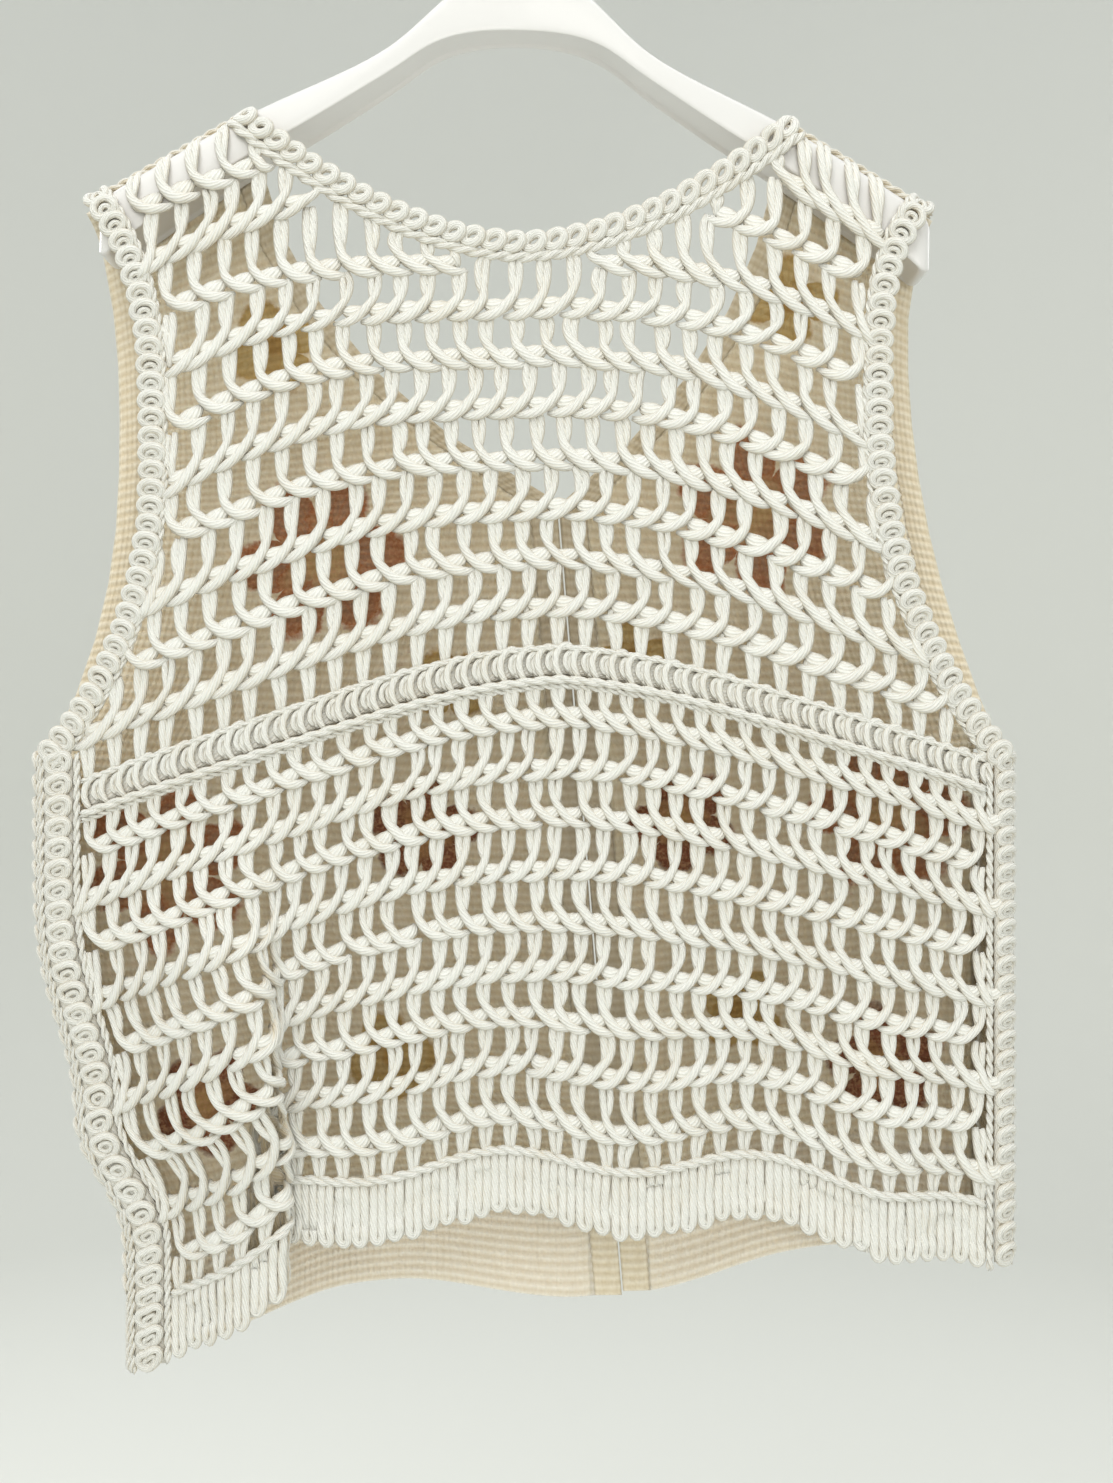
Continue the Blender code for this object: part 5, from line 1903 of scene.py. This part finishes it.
@dataclass
class Hanger:
    """The broad moulded hanger and its wire hook."""

    crown: float = 0.40  # rounding of the top, as a share of the depth
    foot_round: float = 2.6
    lip: float = 2.4
    recess: float = 3.0
    end_round: float = 5.0
    recess_end: float = 192.0  # X where the underside's recess stops
    touch: float = 0.1  # what lies nearer than this counts as in line
    tilt: float = 1.2  # degrees
    wire: float = 4.2
    hook_centre: float = -17.0
    hook_radius: float = 19.1

    def build(self) -> None:
        """Makes the hanger and the hook."""
        self.build_arms()
        self.build_hook()

    def build_arms(self) -> None:
        """Draws one half out of its middle section, section by section, and mirrors it."""
        _, top, foot, depth = HANGER_SECTIONS[0]
        centre = 0.5 * (top + foot) * MM
        bpy.ops.object.select_all(action="DESELECT")
        bpy.ops.mesh.primitive_plane_add(size=1.0, location=(0.0, 0.0, centre), rotation=(0.0, 0.5 * math.pi, 0.0))
        arms = bpy.context.object
        arms.scale = ((top - foot) * MM, depth * MM, 1.0)
        bpy.ops.object.transform_apply(location=True, rotation=True, scale=True)
        bpy.ops.object.mode_set(mode="EDIT")
        self.round_corners(arms, upper=True, offset=self.crown * depth, segments=5)
        self.round_corners(arms, upper=False, offset=self.foot_round, segments=2)
        bpy.ops.mesh.select_all(action="SELECT")
        for (x0, top0, foot0, depth0), (x1, top1, foot1, depth1) in zip(HANGER_SECTIONS, HANGER_SECTIONS[1:]):
            rise = 0.5 * (top1 + foot1 - top0 - foot0)
            bpy.ops.mesh.extrude_region_move(TRANSFORM_OT_translate={"value": ((x1 - x0) * MM, 0.0, rise * MM)})
            bpy.ops.transform.resize(
                value=(1.0, depth1 / depth0, (top1 - foot1) / (top0 - foot0)),
                center_override=(x1 * MM, 0.0, 0.5 * (top1 + foot1) * MM),
            )
        bpy.ops.mesh.bevel(offset=self.end_round * MM, segments=4, affect="EDGES")
        self.select(arms, "FACE", lambda face: face.calc_center_median().x < self.touch * MM)
        bpy.ops.mesh.delete(type="FACE")
        end = self.recess_end * MM
        self.select(arms, "FACE", lambda face: face.normal.z < -0.75 and face.calc_center_median().x < end)
        bpy.ops.mesh.inset(thickness=self.lip * MM, depth=0.0, use_boundary=False)
        bpy.ops.transform.translate(value=(0.0, 0.0, self.recess * MM))
        bpy.ops.object.mode_set(mode="OBJECT")
        mirror = arms.modifiers.new("other_half", "MIRROR")
        mirror.merge_threshold = 2.0 * self.touch * MM
        bpy.ops.object.modifier_apply(modifier=mirror.name)
        rounding = arms.modifiers.new("rounding", "SUBSURF")
        rounding.levels = 2
        bpy.ops.object.modifier_apply(modifier=rounding.name)
        arms.rotation_euler = (0.0, math.radians(self.tilt), 0.0)
        bpy.ops.object.transform_apply(location=True, rotation=True, scale=True)
        arms.data.shade_smooth()
        arms.name = arms.data.name = "hanger_arms"
        settle(arms, MouldedPlastic("white_moulded_plastic", roughness=0.34), Slot.PLASTIC, ["hanger"])

    def select(self, piece: Piece, kind: str, test: Callable[[object], bool]) -> None:
        """Selects what passes a test in edit mode.

        Args:
            piece: the mesh.
            kind: FACE for its faces, or VERT for its points.
            test: true for what is wanted.
        """
        bpy.ops.mesh.select_all(action="DESELECT")
        bpy.ops.mesh.select_mode(type=kind)
        shape = bmesh.from_edit_mesh(piece.data)
        for part in shape.faces if kind == "FACE" else shape.verts:
            part.select_set(test(part))
        bmesh.update_edit_mesh(piece.data)

    def round_corners(self, piece: Piece, upper: bool, offset: float, segments: int) -> None:
        """Rounds corners of the section in edit mode.

        Args:
            piece: the hanger.
            upper: the upper corners, or else the lower ones.
            offset: how far the rounding reaches.
            segments: how many faces it gets.
        """
        levels = [corner.co.z for corner in bmesh.from_edit_mesh(piece.data).verts]
        wanted = max(levels) if upper else min(levels)
        self.select(piece, "VERT", lambda corner: abs(corner.co.z - wanted) < self.touch * MM)
        bpy.ops.mesh.bevel(offset=offset * MM, segments=segments, affect="VERTICES")

    def build_hook(self) -> None:
        """Bends the hook out of round wire."""
        stem = [(0.0, -59.1), (0.0, -46.0), (4.0, -39.0), (12.0, -31.5)]
        turns = np.radians(np.linspace(-25.0, 190.0, 26))
        bow = [(self.hook_radius * math.cos(a), self.hook_centre + self.hook_radius * math.sin(a)) for a in turns]
        line = [*stem, *bow, (-18.6, -24.0), (-20.6, -29.0)]
        path = curve_through([(x, 0.0, z) for x, z in line], 96)
        wire = bpy.data.curves.new("hook_wire", "CURVE")
        wire.dimensions = "3D"
        wire.bevel_depth = 0.5 * self.wire * MM
        wire.bevel_resolution = 5
        wire.use_fill_caps = True
        spline = wire.splines.new("POLY")
        spline.points.add(len(path) - 1)
        for point, (x, y, z) in zip(spline.points, path * MM):
            point.co = (x, y, z, 1.0)
        hook = new_object("hook_wire", wire)
        bpy.ops.object.select_all(action="DESELECT")
        hook.select_set(True)
        bpy.context.view_layer.objects.active = hook
        bpy.ops.object.convert(target="MESH")
        hook = bpy.context.object
        weld(hook.data, 0.01 * MM)
        settle(hook, PlatedWire("bright_plated_wire", roughness=0.18, metallic=1.0), Slot.WIRE, ["hook"])


# --- Studio ---


@dataclass(frozen=True)
class PaleCard(Finish):
    """Matt card: even, with no gloss."""

    colour: str = "#E3E4DF"

    def paint(self, nodes: Painter) -> None:
        """One pale colour, the same all over."""
        nodes.colour(self.colour)


@dataclass
class Studio:
    """A pale floor that sweeps up into a wall all round, soft lights and the camera."""

    floor_z: float = -1.5
    radius: float = 3.6
    wall: float = 3.2
    sweep: float = 0.9
    turns: int = 72
    aim: Row = (0.016, 0.0, -0.443)
    distance: float = 0.7675
    lens: float = 38.2
    sky: float = 0.80

    def build(self) -> None:
        """Makes the stage, the lights and the camera."""
        self.build_sweep()
        # name, place, size, power, colour
        lights = (
            ("key", (-0.7, -1.7, 1.1), 1.4, 17.0, "#FFFDFA"),
            ("fill", (0.4, -2.1, -0.3), 1.1, 12.0, "#FFFCF8"),
            ("top", (0.1, -0.6, 1.5), 1.2, 11.0, "#FFFFFF"),
            ("rear_left", (-1.8, 1.3, 0.8), 1.2, 24.0, "#FFFFFF"),
            ("rear_right", (1.6, 1.6, 0.4), 1.3, 9.0, "#FFFFFF"),
        )
        for name, place, size, power, colour in lights:
            self.add_light(name, place, size, power, colour)
        world = bpy.data.worlds.new("studio")
        world.use_nodes = True
        sky = world.node_tree.nodes["Background"]
        sky.inputs["Color"].default_value = linear("#EEF1F2")
        sky.inputs["Strength"].default_value = self.sky
        bpy.context.scene.world = world
        bpy.context.scene.view_settings.view_transform = "Standard"
        data = bpy.data.cameras.new("camera")
        data.lens = self.lens
        camera = new_object("camera", data)
        camera.location = (self.aim[0], -self.distance, self.aim[2])
        camera.rotation_euler = (math.radians(90.0), 0.0, 0.0)
        bpy.context.scene.camera = camera

    def build_sweep(self) -> None:
        """Makes the floor and its wall as one turned sheet."""
        flat, bend = self.radius - self.sweep, spread(0.0, 0.5 * math.pi, 13)
        curve = [(flat + self.sweep * math.sin(a), self.sweep - self.sweep * math.cos(a)) for a in bend]
        outline = [(0.0, 0.0), *curve, (self.radius, self.wall)]
        size = len(outline)
        points, quads = [], []
        for index in range(self.turns):
            angle = 2.0 * math.pi * index / self.turns
            points += [(r * math.cos(angle), r * math.sin(angle), self.floor_z + z) for r, z in outline]
            first, second = index * size, ((index + 1) % self.turns) * size
            quads += [(first + k, first + k + 1, second + k + 1, second + k) for k in range(1, size - 1)]
            quads.append((first, first + 1, second + 1))
        mesh = bpy.data.meshes.new("studio_sweep")
        mesh.from_pydata(points, [], quads)
        weld(mesh, 0.01 * MM)
        mesh.materials.append(PaleCard("pale_card", roughness=0.95).make())
        new_object("studio_sweep", mesh)

    def add_light(self, name: str, place: Row, size: float, power: float, colour: str) -> None:
        """Adds a square soft light that faces the garment.

        Args:
            name: its name.
            place: where it is.
            size: its side.
            power: in watts.
            colour: its sRGB hex colour.
        """
        data = bpy.data.lights.new(name, "AREA")
        data.size, data.energy, data.color = size, power, linear(colour)[:3]
        light = new_object(name, data)
        light.location = place
        toward = Vector((0.0, 0.0, -0.4)) - Vector(place)
        light.rotation_euler = toward.to_track_quat("-Z", "Y").to_euler()


def main() -> None:
    """Builds the garment, its hanger and the studio."""
    Studio().build()
    build_lace()
    NeckEdging().build()
    YokeBand().build()
    Hem().build()
    for side in Side:
        ArmholeEdging(side).build()
        SideStrip(side).build()
        ShoulderSeam(side).build()
        FrontHalf(side).build()
    Hanger().build()


if __name__ == "__main__":
    logging.basicConfig(level=logging.INFO, format="%(message)s")
    main()
